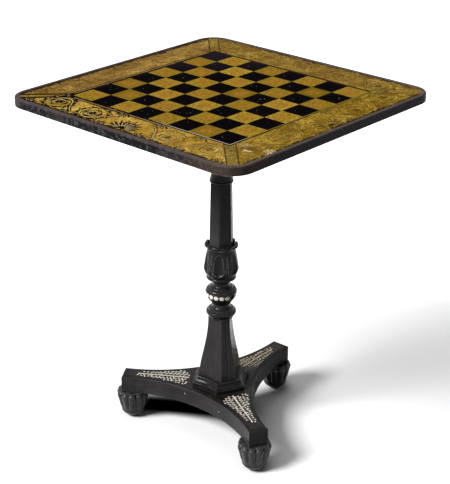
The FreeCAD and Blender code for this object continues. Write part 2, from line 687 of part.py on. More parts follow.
def catch_bolt():
    """Round brass bolt, drawn back so that the top is free to tilt."""
    bolt = along_bolt(BOLT_RADIUS, CATCH_Y + INLAY_JOINT, BOLT_LENGTH)
    ends = [edge for edge in bolt.Edges if edge.BoundBox.YLength < RUNNING_FIT]
    bolt = bolt.makeChamfer(BOLT_RADIUS / 4, ends)
    return bolt.cut(knob_stem(GLUE_LINE))


def catch_knob():
    """Small turned knob that draws the bolt."""
    button = turned([
        (0, -KNOB_HALF_HEIGHT),
        (KNOB_END_RADIUS, -KNOB_HALF_HEIGHT, KNOB_END_SWELL),
        (KNOB_END_RADIUS, KNOB_HALF_HEIGHT, KNOB_RADIUS - KNOB_END_RADIUS),
        (0, KNOB_HALF_HEIGHT),
    ])
    button.translate(FreeCAD.Vector(0, KNOB_Y, BOLT_Z - KNOB_DROP))
    return button.fuse(knob_stem()).removeSplitter()


# ---------------------------------------------------------------- head of the pillar
def tenon_wedge(side):
    """Wedge driven into the tenon's end, across the block's grain."""
    top = BLOCK_TOP_Z - TENON_SHORT
    offset = side * TENON_RADIUS / 2
    half = WEDGE_THICKNESS / 2
    tip = WEDGE_TIP_THICKNESS / 2
    corners = [
        FreeCAD.Vector(-WEDGE_LENGTH / 2, offset - half, top),
        FreeCAD.Vector(-WEDGE_LENGTH / 2, offset + half, top),
        FreeCAD.Vector(-WEDGE_LENGTH / 2, offset + tip, top - WEDGE_DEPTH),
        FreeCAD.Vector(-WEDGE_LENGTH / 2, offset - tip, top - WEDGE_DEPTH),
    ]
    face = Part.Face(Part.makePolygon(corners + corners[:1]))
    return face.extrude(FreeCAD.Vector(WEDGE_LENGTH, 0, 0))


def capital():
    """Bell-shaped capital, with a wedged tenon that goes up through the block."""
    bell_top = CAPITAL_HEIGHT - CAPITAL_CAP_HEIGHT
    cap_foot = bell_top + CAPITAL_FILLET_HEIGHT
    tenon_top = CAPITAL_HEIGHT + BLOCK_THICKNESS - TENON_SHORT
    body = turned([
        (0, 0),
        (CAPITAL_FOOT_RADIUS, 0),
        (CAPITAL_BELL_RADIUS, bell_top, -CAPITAL_BELL_SWELL),
        (CAPITAL_BELL_RADIUS, cap_foot),
        (CAPITAL_CAP_RADIUS, cap_foot + CAPITAL_STEP_HEIGHT),
        (CAPITAL_CAP_RADIUS, CAPITAL_HEIGHT, CAPITAL_CAP_SWELL),
        (TENON_RADIUS, CAPITAL_HEIGHT),
        (TENON_RADIUS, tenon_top),
        (0, tenon_top),
    ], CAPITAL_Z)
    body = body.cut(upright(SPIGOT_RADIUS + GLUE_LINE, CAPITAL_Z, SPIGOT_DEPTH + END_ROOM))
    limit = upright(TENON_RADIUS, CAPITAL_Z, tenon_top)
    for side in (-1, 1):
        body = body.cut(tenon_wedge(side).common(limit))
    return body


def tenon_wedges():
    """Both wedges, trimmed to the tenon's round."""
    limit = upright(TENON_RADIUS, CAPITAL_Z, CAPITAL_HEIGHT + BLOCK_THICKNESS)
    return [tenon_wedge(side).common(limit) for side in (-1, 1)]


def neck_ring():
    """Half-round ring between the shaft and the capital."""
    bore = SPIGOT_RADIUS + GLUE_LINE
    edge = NECK_RING_RADIUS - NECK_RING_SWELL
    return turned([
        (bore, 0),
        (edge, 0),
        (edge, NECK_RING_HEIGHT, NECK_RING_SWELL),
        (bore, NECK_RING_HEIGHT),
    ], NECK_RING_Z)


def regular_section(radius, sides, first_angle, z):
    """Closed flat wire with its corners at a radius."""
    corners = [polar(radius, first_angle + 360.0 * index / sides, z) for index in range(sides)]
    return Part.makePolygon(corners + corners[:1])


def upper_shaft():
    """Tapering six-sided shaft with a flat to each leg, and a spigot at each end."""
    corner = LEG_ANGLES["back"] + 180.0 / SHAFT_SIDES
    foot = regular_section(SHAFT_FOOT_RADIUS, SHAFT_SIDES, corner, SHAFT_Z)
    head = regular_section(SHAFT_TOP_RADIUS, SHAFT_SIDES, corner, NECK_RING_Z)
    shaft = Part.makeLoft([foot, head], True, True)
    arrises = [edge for edge in shaft.Edges if edge.BoundBox.ZLength > SHAFT_HEIGHT / 2]
    shaft = shaft.makeFillet(SHAFT_ARRIS_ROUND, arrises)
    foot_spigot_z = TULIP_Z - SPIGOT_DEPTH
    foot_spigot = upright(SPIGOT_RADIUS, foot_spigot_z, SHAFT_Z - foot_spigot_z)
    head_spigot = upright(SPIGOT_RADIUS, NECK_RING_Z, NECK_RING_HEIGHT + SPIGOT_DEPTH)
    return shaft.fuse([foot_spigot, head_spigot])


# ---------------------------------------------------------------- tulip collar
def tulip_outside():
    """Turned outside of the tulip collar, before its petals are carved."""
    petal_foot = TULIP_LIP_HEIGHT + TULIP_QUIRK_HEIGHT
    belly_foot = TULIP_BELLY_HEIGHT - TULIP_BELLY_THICKNESS / 2
    tip_foot = TULIP_TIP_HEIGHT - TULIP_TIP_THICKNESS / 2
    return [
        (TULIP_FOOT_RADIUS, 0),
        (TULIP_LIP_RADIUS - TULIP_LIP_SWELL, TULIP_LIP_HEIGHT - TULIP_LIP_THICKNESS, -TULIP_LIP_COVE),
        (TULIP_LIP_RADIUS - TULIP_LIP_SWELL, TULIP_LIP_HEIGHT, TULIP_LIP_SWELL),
        (TULIP_LIP_RADIUS - TULIP_LIP_SWELL - TULIP_QUIRK_DEPTH, petal_foot, -TULIP_QUIRK_COVE),
        (TULIP_BELLY_RADIUS, belly_foot, TULIP_FLANK_SWELL),
        (TULIP_BELLY_RADIUS, belly_foot + TULIP_BELLY_THICKNESS, TULIP_BELLY_SWELL),
        (TULIP_WAIST_RADIUS, TULIP_WAIST_HEIGHT, TULIP_WAIST_SWELL),
        (TULIP_TIP_RADIUS, tip_foot, -TULIP_TIP_COVE),
        (TULIP_TIP_RADIUS, tip_foot + TULIP_TIP_THICKNESS, TULIP_TIP_SWELL),
        (TULIP_CREST_RADIUS, TULIP_CREST_HEIGHT, TULIP_CREST_SWELL),
    ]


def tulip_collar():
    """Collar carved as a tulip, its petals curling out round the foot of the six-sided shaft."""
    bore = SPIGOT_RADIUS + GLUE_LINE
    cup = SHAFT_FOOT_RADIUS + TULIP_CUP_GAP
    profile = tulip_outside() + [
        (cup + TULIP_CUP_FLARE, TULIP_CREST_HEIGHT - TULIP_RIM_DROP),
        (cup, TULIP_FLOOR_HEIGHT),
        (bore, TULIP_FLOOR_HEIGHT),
        (bore, 0),
    ]
    body = turned(profile)
    between = 180.0 / PETALS
    petals = [LEG_ANGLES["back"] + petal * 2 * between for petal in range(PETALS)]
    hollow = petal_hollow()
    gap = tip_gap()
    vein = petal_vein()
    cutters = [tip_trim(petals)]
    for angle in petals:
        cutters.append(turned_about(vein, angle))
        cutters.append(turned_about(hollow, angle + between))
        cutters.append(turned_about(gap, angle + between))
    body = body.cut(cutters)
    body.translate(FreeCAD.Vector(0, 0, TULIP_Z))
    return body


def petal_hollow():
    """Cutter for the scooped hollow between two petals, in the +X direction."""
    axis = HOLLOW_FLOOR_RADIUS + HOLLOW_RADIUS
    foot = FreeCAD.Vector(axis, 0, HOLLOW_FOOT_HEIGHT)
    head = FreeCAD.Vector(axis, 0, HOLLOW_HEAD_HEIGHT)
    flute = Part.makeCylinder(HOLLOW_RADIUS, head.z - foot.z, foot)
    ends = [Part.makeSphere(HOLLOW_RADIUS, place) for place in (foot, head)]
    return flute.fuse(ends).removeSplitter()


def petal_vein():
    """Cutter for the groove down the middle of a petal, in the +X direction: it tapers upwards."""
    foot = FreeCAD.Vector(TULIP_LIP_RADIUS + VEIN_RADIUS, 0, VEIN_FOOT_HEIGHT)
    floor = TULIP_BELLY_RADIUS + TULIP_BELLY_SWELL - VEIN_DEPTH
    belly = FreeCAD.Vector(floor + VEIN_RADIUS, 0, TULIP_BELLY_HEIGHT)
    head = FreeCAD.Vector(TULIP_WAIST_RADIUS + VEIN_HEAD_RADIUS + VEIN_RUN_OUT, 0, TULIP_WAIST_HEIGHT)
    rise = belly.sub(foot)
    lower = Part.makeCone(VEIN_FOOT_RADIUS, VEIN_RADIUS, rise.Length, foot, rise)
    climb = head.sub(belly)
    upper = Part.makeCone(VEIN_RADIUS, VEIN_HEAD_RADIUS, climb.Length, belly, climb)
    eye = Part.makeSphere(VEIN_FOOT_RADIUS, foot)
    knee = Part.makeSphere(VEIN_RADIUS, belly)
    return lower.fuse([eye, knee, upper]).removeSplitter()


def tip_gap():
    """Cutter for the V-shaped gap with bowed sides between two petals' tips, in the +X direction."""
    half = NOTCH_WIDTH / 2
    foot = TULIP_CREST_HEIGHT - NOTCH_DEPTH
    head = TULIP_CREST_HEIGHT + NOTCH_TOP_ROOM
    height = head - foot
    radius = (half ** 2 + height ** 2) / (2 * height)
    turn = math.atan2(half, radius - height) / 2
    across = half - radius * math.sin(turn)
    bow = head - radius * (1 - math.cos(turn))
    apex = FreeCAD.Vector(0, 0, foot)
    left = FreeCAD.Vector(0, -half, head)
    right = FreeCAD.Vector(0, half, head)
    edges = [
        Part.Arc(apex, FreeCAD.Vector(0, across, bow), right).toShape(),
        Part.LineSegment(right, left).toShape(),
        Part.Arc(left, FreeCAD.Vector(0, -across, bow), apex).toShape(),
    ]
    return Part.Face(Part.Wire(edges)).extrude(FreeCAD.Vector(tip_reach(), 0, 0))


def tip_reach():
    """Radius that stands just clear of the tips."""
    return TULIP_TIP_RADIUS + TULIP_TIP_SWELL + NOTCH_TOP_ROOM


def tip_trim(angles):
    """Cutter that rounds the tips seen from above: what lies outside one upright cylinder per petal."""
    height = TULIP_CREST_HEIGHT + NOTCH_TOP_ROOM - TULIP_WAIST_HEIGHT
    centre = tip_reach() - TIP_ROUND
    tips = []
    for angle in angles:
        tips.append(Part.makeCylinder(TIP_ROUND, height, polar(centre, angle, TULIP_WAIST_HEIGHT)))
    return upright(tip_reach() + TIP_ROUND, TULIP_WAIST_HEIGHT, height).cut(tips)


# ---------------------------------------------------------------- knop, studs and ring
def on_band(shape, angle):
    """Shape made about +Z, stood out of the knop's band and turned round the pillar."""
    shape.rotate(ORIGIN, FreeCAD.Vector(0, 1, 0), 90.0)
    shape.translate(FreeCAD.Vector(BAND_RADIUS, 0, KNOP_Z + STUD_HEIGHT))
    shape.rotate(ORIGIN, UP, angle)
    return shape


def stud_angles():
    """Angle of every stud's pocket, from +X round."""
    return [360.0 * index / STUDS_IN_RING for index in range(STUDS_IN_RING)]


def bone_studs():
    """Round bone studs with low crowns, without those that are lost."""
    studs = []
    for index, angle in enumerate(stud_angles()):
        if index in STUDS_LOST:
            continue
        stud = turned([
            (0, -STUD_DEPTH),
            (STUD_RADIUS, -STUD_DEPTH),
            (STUD_RADIUS, STUD_PROUD - STUD_CROWN),
            (STUD_CROWN_RADIUS, STUD_PROUD),
            (0, STUD_PROUD),
        ])
        studs.append(on_band(stud, angle))
    return studs


def bone_knop():
    """Turned knop with a ring of pockets for the studs and a bore for a spigot at each end."""
    band_top = BAND_FOOT + BAND_HEIGHT
    body = turned([
        (0, 0),
        (KNOP_FOOT_RADIUS, 0),
        (KNOP_FOOT_RADIUS, KNOP_FOOT_FILLET),
        (KNOP_SLOPE_RADIUS, KNOP_SLOPE_HEIGHT, KNOP_SLOPE_SWELL),
        (BAND_RADIUS, BAND_FOOT),
        (BAND_RADIUS, band_top),
        (KNOP_RIM_RADIUS, band_top),
        (KNOP_RIM_RADIUS, band_top + KNOP_RIM_HEIGHT, KNOP_RIM_SWELL),
        (KNOP_RIDGE_RADIUS, KNOP_RIDGE_HEIGHT, KNOP_RIDGE_SWELL),
        (KNOP_DISH_RADIUS, KNOP_DISH_HEIGHT, -KNOP_DISH_DEPTH),
        (KNOP_BEAD_RADIUS, KNOP_BEAD_HEIGHT, KNOP_BEAD_SWELL),
        (TULIP_FOOT_RADIUS, KNOP_NECK_HEIGHT, -KNOP_NECK_COVE),
        (TULIP_FOOT_RADIUS, KNOP_HEIGHT),
        (0, KNOP_HEIGHT),
    ], KNOP_Z)
    bore = SPIGOT_RADIUS + GLUE_LINE
    deep = SPIGOT_DEPTH + END_ROOM
    pockets = [upright(bore, KNOP_Z, deep), upright(bore, TULIP_Z - deep, deep)]
    floor = FreeCAD.Vector(0, 0, -STUD_DEPTH)
    for angle in stud_angles():
        pocket = Part.makeCylinder(STUD_RADIUS + GLUE_LINE, STUD_DEPTH + STUD_RADIUS, floor)
        pockets.append(on_band(pocket, angle))
    return body.cut(pockets)


def base_ring():
    """Ring moulding between the knop and the lower shaft."""
    bore = SPIGOT_RADIUS + GLUE_LINE
    nose_radius = RING_RADIUS - RING_NOSE_SWELL
    return turned([
        (bore, 0),
        (RING_FOOT_RADIUS, 0),
        (RING_FOOT_RADIUS, RING_FOOT_HEIGHT),
        (nose_radius, RING_NOSE_FOOT, RING_FLANK_SWELL),
        (nose_radius, RING_NOSE_HEAD, RING_NOSE_SWELL),
        (RING_RIDGE_RADIUS, RING_RIDGE_HEIGHT - RING_RIDGE_THICKNESS),
        (RING_RIDGE_RADIUS - RING_RIDGE_LEAN, RING_RIDGE_HEIGHT),
        (KNOP_FOOT_RADIUS, RING_HEIGHT - RING_NECK_FILLET, -RING_SCOTIA),
        (KNOP_FOOT_RADIUS, RING_HEIGHT),
        (bore, RING_HEIGHT),
    ], RING_Z)


# ---------------------------------------------------------------- lower shaft and plinth
def flare(share):
    """Radius of the lower shaft's corners at a share of its height, 0 at the foot."""
    spread = (1 + math.cos(math.pi * share ** LOWER_SHAFT_FLARE_LIFT)) / 2
    return LOWER_SHAFT_TOP_RADIUS + (LOWER_SHAFT_FOOT_RADIUS - LOWER_SHAFT_TOP_RADIUS) * spread


def lower_shaft():
    """Flaring shaft: three wide faces between the legs and three narrow grooved ones over them."""
    sections = []
    grooves = []
    for index in range(LOWER_SHAFT_SECTIONS):
        share = index / (LOWER_SHAFT_SECTIONS - 1)
        radius = flare(share)
        z = LOWER_SHAFT_Z + share * LOWER_SHAFT_HEIGHT
        corners = []
        for leg in sorted(LEG_ANGLES.values()):
            for side in (-1, 1):
                corners.append(polar(radius, leg + side * LOWER_SHAFT_HALF_CORNER, z))
        sections.append(Part.makePolygon(corners + corners[:1]))
        grooves.append((radius * math.cos(math.radians(LOWER_SHAFT_HALF_CORNER)), z))
    shaft = Part.makeLoft(sections, True, False)
    cutters = [corner_groove(grooves, leg) for leg in LEG_ANGLES.values()]
    cutters.append(upright(TIE_RADIUS + GLUE_LINE, LOWER_SHAFT_Z, TIE_IN_SHAFT + END_ROOM))
    shaft = shaft.cut(cutters)
    spigot = upright(SPIGOT_RADIUS, RING_Z, RING_HEIGHT + SPIGOT_DEPTH)
    return shaft.fuse(spigot)


def corner_groove(places, angle):
    """Cutter for the V-shaped groove down one narrow face, from its (radius, height) places."""
    depth = LOWER_SHAFT_GROOVE_DEPTH
    half = LOWER_SHAFT_GROOVE_WIDTH / 2
    sections = []
    for radius, z in places:
        floor = FreeCAD.Vector(radius - depth, 0, z)
        left = FreeCAD.Vector(radius + depth, -2 * half, z)
        right = FreeCAD.Vector(radius + depth, 2 * half, z)
        sections.append(Part.makePolygon([floor, left, right, floor]))
    return turned_about(Part.makeLoft(sections, True, False), angle)


def six_bowed_sides(radius, bow, hollow, z):
    """Wire of six sides: those over the legs swell out and those between them curve in."""
    flat = radius * math.cos(math.radians(LEG_TO_CORNER))
    edges = []
    for leg in sorted(LEG_ANGLES.values()):
        for angle, middle in ((leg, flat + bow), (leg + LEG_TO_HOLLOW, flat - hollow)):
            start = polar(radius, angle - LEG_TO_CORNER, z)
            end = polar(radius, angle + LEG_TO_CORNER, z)
            edges.append(Part.Arc(start, polar(middle, angle, z), end).toShape())
    return Part.Wire(edges)


def plinth_level(radius, z):
    """Outline of the plinth at one height, its curves in proportion."""
    share = radius / SLAB_RADIUS
    return six_bowed_sides(radius, SLAB_BOW * share, SLAB_HOLLOW * share, z)


def plinth_slab():
    """Slab under the pillar, on the platform."""
    slab = Part.Face(plinth_level(SLAB_RADIUS, SLAB_Z)).extrude(UP * SLAB_HEIGHT)
    slab = slab.makeFillet(SLAB_ROUND, edges_at(slab, MOULDING_Z))
    return slab.cut(upright(TIE_RADIUS + TIE_HOLE_ROOM, SLAB_Z, SLAB_HEIGHT))


def plinth_moulding():
    """Hollow moulding with a bead on top, between the slab and the lower shaft."""
    cove_top = MOULDING_HEIGHT - MOULDING_BEAD_HEIGHT
    levels = [(MOULDING_FOOT_RADIUS, 0), (MOULDING_FOOT_RADIUS, MOULDING_FOOT_HEIGHT)]
    width = MOULDING_FOOT_RADIUS - MOULDING_BEAD_RADIUS
    height = cove_top - MOULDING_FOOT_HEIGHT
    for step in range(1, MOULDING_COVE_STEPS + 1):
        turn = math.radians(90.0 * step / MOULDING_COVE_STEPS)
        radius = MOULDING_FOOT_RADIUS - width * math.sin(turn)
        levels.append((radius, MOULDING_FOOT_HEIGHT + height * (1 - math.cos(turn))))
    bead = MOULDING_BEAD_HEIGHT / 2
    for step in range(1, MOULDING_BEAD_STEPS + 1):
        turn = math.pi * step / (MOULDING_BEAD_STEPS + 1)
        levels.append((MOULDING_BEAD_RADIUS + bead * math.sin(turn), cove_top + bead * (1 - math.cos(turn))))
    levels.append((MOULDING_BEAD_RADIUS, MOULDING_HEIGHT))
    wires = [plinth_level(radius, MOULDING_Z + z) for radius, z in levels]
    moulding = Part.makeLoft(wires, True, True)
    return moulding.cut(upright(TIE_RADIUS + TIE_HOLE_ROOM, MOULDING_Z, MOULDING_HEIGHT))


# ---------------------------------------------------------------- platform, panels and feet
def hollow_circle():
    """Centre distance and radius of the arc that hollows a side of the platform."""
    spread = math.degrees(math.atan2(LEG_HALF_WIDTH, LEG_REACH))
    corner = polar(math.hypot(LEG_REACH, LEG_HALF_WIDTH), LEG_TO_HOLLOW - spread)
    reach = HOLLOW_SIDE_REACH
    centre = (corner.x ** 2 + corner.y ** 2 - reach ** 2) / (2 * (corner.x - reach))
    return centre, centre - reach


def triform(inset, end_inset, z):
    """Outline of the platform, set in from its sides and from its legs' ends."""
    centre, radius = hollow_circle()
    radius = radius + inset
    end = LEG_REACH - end_inset
    centre_along = centre * math.cos(math.radians(LEG_TO_HOLLOW))
    centre_across = centre * math.sin(math.radians(LEG_TO_HOLLOW))
    half = centre_across - math.sqrt(radius ** 2 - (end - centre_along) ** 2)
    spread = math.degrees(math.atan2(half, end))
    edges = []
    for leg in sorted(LEG_ANGLES.values()):
        first = polar(math.hypot(end, half), leg - spread, z)
        second = polar(math.hypot(end, half), leg + spread, z)
        third = polar(math.hypot(end, half), leg + 2 * LEG_TO_HOLLOW - spread, z)
        middle = polar(centre - radius, leg + LEG_TO_HOLLOW, z)
        edges.append(Part.LineSegment(first, second).toShape())
        edges.append(Part.Arc(second, middle, third).toShape())
    return Part.Face(Part.Wire(edges))


def panel_blank(angle, z, height, room=0.0):
    """Panel let into the top of one leg, or the recess for it."""
    blank = triform(PANEL_INSET - room, PANEL_END_INSET - room, z).extrude(UP * height)
    blank = blank.cut(upright(PANEL_START_RADIUS - room, z, height))
    reach = LEG_REACH * 2
    across = reach * math.tan(math.radians(LEG_TO_HOLLOW))
    sector = prism([(0, 0), (reach, -across), (reach, across)], z, height)
    return blank.common(turned_about(sector, angle))


def platform():
    """Three-legged platform with hollow sides, a groove round its face and recesses for panels."""
    body = triform(0.0, 0.0, PLATFORM_Z).extrude(UP * PLATFORM_THICKNESS)
    body = body.makeFillet(PLATFORM_ROUND, edges_at(body, SLAB_Z))
    body = body.makeChamfer(PLATFORM_FOOT_CHAMFER, edges_at(body, PLATFORM_Z))
    groove_z = SLAB_Z - QUIRK_DEPTH
    groove = triform(QUIRK_INSET, QUIRK_INSET, groove_z).extrude(UP * QUIRK_DEPTH)
    inner = QUIRK_INSET + QUIRK_WIDTH
    groove = groove.cut(triform(inner, inner, groove_z).extrude(UP * QUIRK_DEPTH))
    cutters = [groove, upright(TIE_RADIUS + TIE_HOLE_ROOM, PLATFORM_Z, PLATFORM_THICKNESS)]
    socket = FOOT_SPIGOT_LENGTH + END_ROOM
    for angle in LEG_ANGLES.values():
        cutters.append(panel_blank(angle, SLAB_Z - PANEL_THICKNESS, PANEL_THICKNESS, INLAY_JOINT))
        centre = polar(FOOT_CIRCLE_RADIUS, angle, PLATFORM_Z)
        cutters.append(Part.makeCylinder(FOOT_SPIGOT_RADIUS + GLUE_LINE, socket, centre))
    return body.cut(cutters)


def lobed_section(radius, cut, z):
    """Wire of equal bowed lobes that meet in creases, first lobe centred on the +X direction."""
    half = 180.0 / FOOT_LOBES
    edges = []
    for lobe in range(FOOT_LOBES):
        angle = 2 * half * lobe
        start = polar(radius - cut, angle - half, z)
        end = polar(radius - cut, angle + half, z)
        edges.append(Part.Arc(start, polar(radius, angle, z), end).toShape())
    return Part.Wire(edges)


def lobed_loft(levels):
    """Smooth lobed body through (radius, height, crease depth) levels."""
    return Part.makeLoft([lobed_section(radius, cut, z) for radius, z, cut in levels], True, False)


def carved_foot(leg):
    """Lobed foot: a plain bowl, upright lobes round it, a crown of curled tips and a spigot."""
    bowl = turned([
        (0, 0),
        (FOOT_REST_RADIUS, 0),
        (FOOT_DISC_RADIUS, FOOT_DISC_HEIGHT, FOOT_DISC_SWELL),
        (FOOT_BOWL_FOOT_RADIUS, FOOT_BOWL_FOOT_HEIGHT),
        (FOOT_BOWL_RADIUS, FOOT_BOWL_HEIGHT, FOOT_BOWL_SWELL),
        (FOOT_BOWL_TOP_RADIUS, FOOT_BOWL_TOP),
        (0, FOOT_BOWL_TOP),
    ])
    lobes = lobed_loft(FOOT_LOBE_LEVELS)
    beads = lobed_loft(FOOT_BEAD_LEVELS)
    spigot = upright(FOOT_SPIGOT_RADIUS, FOOT_BOWL_TOP, FOOT_HEIGHT - FOOT_BOWL_TOP + FOOT_SPIGOT_LENGTH)
    foot = lobes.fuse([bowl, beads, spigot]).removeSplitter()
    angle = LEG_ANGLES[leg]
    foot.rotate(ORIGIN, UP, angle + FOOT_TURNS[leg] * 360.0 / FOOT_LOBES)
    foot.translate(polar(FOOT_CIRCLE_RADIUS, angle))
    return foot


# ---------------------------------------------------------------- bolt through the base
def tie_bolt():
    """Iron bolt up through the platform and plinth into the lower shaft."""
    seat = PLATFORM_Z - WASHER_THICKNESS
    corner = TIE_HEAD_ACROSS / 2 / math.cos(math.pi / TIE_HEAD_SIDES)
    section = regular_section(corner, TIE_HEAD_SIDES, 0.0, seat - TIE_HEAD_HEIGHT)
    head = Part.Face(section).extrude(UP * TIE_HEAD_HEIGHT)
    shank = upright(TIE_RADIUS, seat, LOWER_SHAFT_Z + TIE_IN_SHAFT - seat)
    return head.fuse(shank)


def tie_washer():
    """Iron washer under the platform."""
    z = PLATFORM_Z - WASHER_THICKNESS
    washer = upright(WASHER_RADIUS, z, WASHER_THICKNESS)
    return washer.cut(upright(TIE_RADIUS + TIE_HOLE_ROOM, z, WASHER_THICKNESS))


# ---------------------------------------------------------------- whole table
def main():
    """Build every sub-part and write it out."""
    os.makedirs("parts", exist_ok=True)

    write("top_board", top_board())
    for name, angle in SIDE_ANGLES.items():
        write("edging_" + name, edging(angle))
        write("border_" + name, border_panel(angle))
    write("dark_squares", board_squares(True))
    write("light_squares", board_squares(False))
    write("light_line", mitred_strips(BOARD_HALF, LIGHT_LINE_OUTER))
    write("dark_line", mitred_strips(LIGHT_LINE_OUTER, DARK_LINE_OUTER))
    write("mitre_bands", mitre_bands())
    write("mitre_lines", mitre_lines())

    write("bearer_left", bearer(-1))
    write("bearer_right", bearer(1))
    write("bearer_screws", [bearer_screw(x, y) for x, y in bearer_screw_places()])
    write("catch_case", catch_case())
    write("catch_screws", [catch_screw(x, y) for x, y in catch_screw_places()])
    write("catch_bolt", catch_bolt())
    write("catch_knob", catch_knob())

    write("tilt_block", tilt_block())
    write("pivot_pins", [pivot_pin(side) for side in (-1, 1)])
    write("strike_plate", strike_plate())
    write("strike_screws", [strike_screw(x) for x in strike_screw_places()])
    write("tenon_wedges", tenon_wedges())
    write("capital", capital())
    write("neck_ring", neck_ring())
    write("upper_shaft", upper_shaft())
    write("tulip_collar", tulip_collar())
    write("bone_knop", bone_knop())
    write("bone_studs", bone_studs())
    write("base_ring", base_ring())
    write("lower_shaft", lower_shaft())
    write("plinth_moulding", plinth_moulding())
    write("plinth_slab", plinth_slab())

    write("platform", platform())
    for name, angle in LEG_ANGLES.items():
        write("leg_panel_" + name, panel_blank(angle, SLAB_Z - PANEL_THICKNESS, PANEL_THICKNESS))
        write("foot_" + name, carved_foot(name))
    write("tie_bolt", tie_bolt())
    write("tie_washer", tie_washer())


main()
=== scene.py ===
"""Finishes, fine inlay and studio for a tilt-top chess table, around its CAD frame.

Lengths are in metres, in the frame's own axes. Flat ornament is drawn in millimetres. Colours are
written as display values and turned into the renderer's own by ``paint``.
"""

import logging
import math
import random
from dataclasses import dataclass, field
from enum import Enum
from functools import cache
from typing import Any, Callable, Iterable, Sequence

import bpy
from mathutils import Matrix, Vector


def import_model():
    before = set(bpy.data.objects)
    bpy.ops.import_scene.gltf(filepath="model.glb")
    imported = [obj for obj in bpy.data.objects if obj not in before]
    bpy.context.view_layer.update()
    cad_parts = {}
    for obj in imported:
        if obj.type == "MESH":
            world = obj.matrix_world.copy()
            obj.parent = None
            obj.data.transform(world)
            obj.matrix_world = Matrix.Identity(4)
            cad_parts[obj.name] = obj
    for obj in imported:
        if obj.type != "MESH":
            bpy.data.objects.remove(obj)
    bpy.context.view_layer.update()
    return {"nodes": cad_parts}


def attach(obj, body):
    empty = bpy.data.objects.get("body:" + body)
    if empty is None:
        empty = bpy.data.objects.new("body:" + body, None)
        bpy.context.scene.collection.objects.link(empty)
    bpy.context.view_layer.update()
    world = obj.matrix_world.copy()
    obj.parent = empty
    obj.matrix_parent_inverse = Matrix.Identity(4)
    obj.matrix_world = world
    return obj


LOG = logging.getLogger("chess_table")
MM = 0.001
Colour = tuple[float, float, float, float]
Line = list[Vector]
Socket = bpy.types.NodeSocket
Nodes = dict[str, bpy.types.Object]
Band = tuple[float, float, float, float]  # where a band starts, is full, begins to fade and is gone

# ---- Sizes that the fine inlay shares with the frame, in millimetres
BOARD_LINES_HALF = 206.5  # from the board's middle to the outside of the dark line
FIELD_HALF = 283.7  # to the inside of the edging
FIELD_CORNER = 37.0  # radius of the border's outer corners
NEAR_CORNER = 240.0  # along each axis, from the top's middle to just inside a corner of the border
BOARD_TOP = 731.5  # height of the playing surface
LIP_TOP = 733.0  # height of the edging's lip
PLATFORM_TOP = 100.0
SQUARE = 50.0
MITRE_BAND_HALF = 9.0
BASE_TURN = 3.0
LEG_REACH = 210.5
LEG_HALF_WIDTH = 20.2
HOLLOW_REACH = 71.0
PANEL_INSET = 8.5
PANEL_START = 67.0
INLAY_PROUD = 0.06  # how far the fine inlay stands above its ground
INLAY_SHEET = 0.2  # its thickness


class Body(Enum):
    """Bodies of the frame that a piece can ride on."""

    BASE = "base"
    TOP = "top"
    CATCH = "catch"


class Placed(Enum):
    """Place on the table that pieces are named after."""

    def named(self, stem: str) -> str:
        """Name of the piece that belongs here."""
        return stem + "_" + self.name.lower()


class Side(Placed):
    """Sides of the top, as the angle that each one faces."""

    RIGHT = 0.0
    BACK = 90.0
    LEFT = 180.0
    FRONT = 270.0


class Leg(Placed):
    """Legs of the platform, as the direction of each one."""

    BACK = 90.0 + BASE_TURN
    LEFT = 210.0 + BASE_TURN
    FRONT = 330.0 + BASE_TURN


class Grain(Enum):
    """Way that the grain runs, as how much each axis is stretched."""

    ALONG_X = (0.07, 1.0, 1.0)
    ALONG_Y = (1.0, 0.07, 1.0)
    ALONG_Z = (1.0, 1.0, 0.06)

    def streaks(self, tree: "Tree", place: Socket, scale: float) -> dict[str, Socket]:
        """Streaks and pores, by name, of wood whose grain runs this way."""
        along = tree.add("VectorMath", {0: place, 1: self.value}, operation="MULTIPLY").outputs[0]
        return tree.group(Effect.GRAIN, {"Vector": along, "Scale": scale})


def paint(red: float, green: float, blue: float) -> Colour:
    """Turn a display colour, each value from 0 to 1, into the renderer's linear one."""
    values = [v / 12.92 if v <= 0.04045 else ((v + 0.055) / 1.055) ** 2.4 for v in (red, green, blue)]
    return (values[0], values[1], values[2], 1.0)


def heading(angle: float, radius: float = 1.0) -> Vector:
    """Flat vector at an angle in degrees from +X."""
    turn = math.radians(angle)
    return Vector((radius * math.cos(turn), radius * math.sin(turn)))


def turned(angle: float) -> Matrix:
    """Flat turn by an angle in degrees."""
    return Matrix.Rotation(math.radians(angle), 2)


def hollow_centre() -> float:
    """Find the circle that hollows each side of the platform.

    Returns:
        Distance of its middle from the pillar's axis.
    """
    off_leg = math.degrees(math.atan2(LEG_HALF_WIDTH, LEG_REACH))
    corner = heading(60.0 - off_leg, math.hypot(LEG_REACH, LEG_HALF_WIDTH))
    return (corner.length_squared - HOLLOW_REACH ** 2) / (2 * (corner.x - HOLLOW_REACH))


def put(name: str, data: bpy.types.ID) -> bpy.types.Object:
    """Put a new object in the scene.

    Args:
        name: its name.
        data: its mesh, lamp or camera.

    Returns:
        The new object.
    """
    thing = bpy.data.objects.new(name, data)
    bpy.context.scene.collection.objects.link(thing)
    return thing


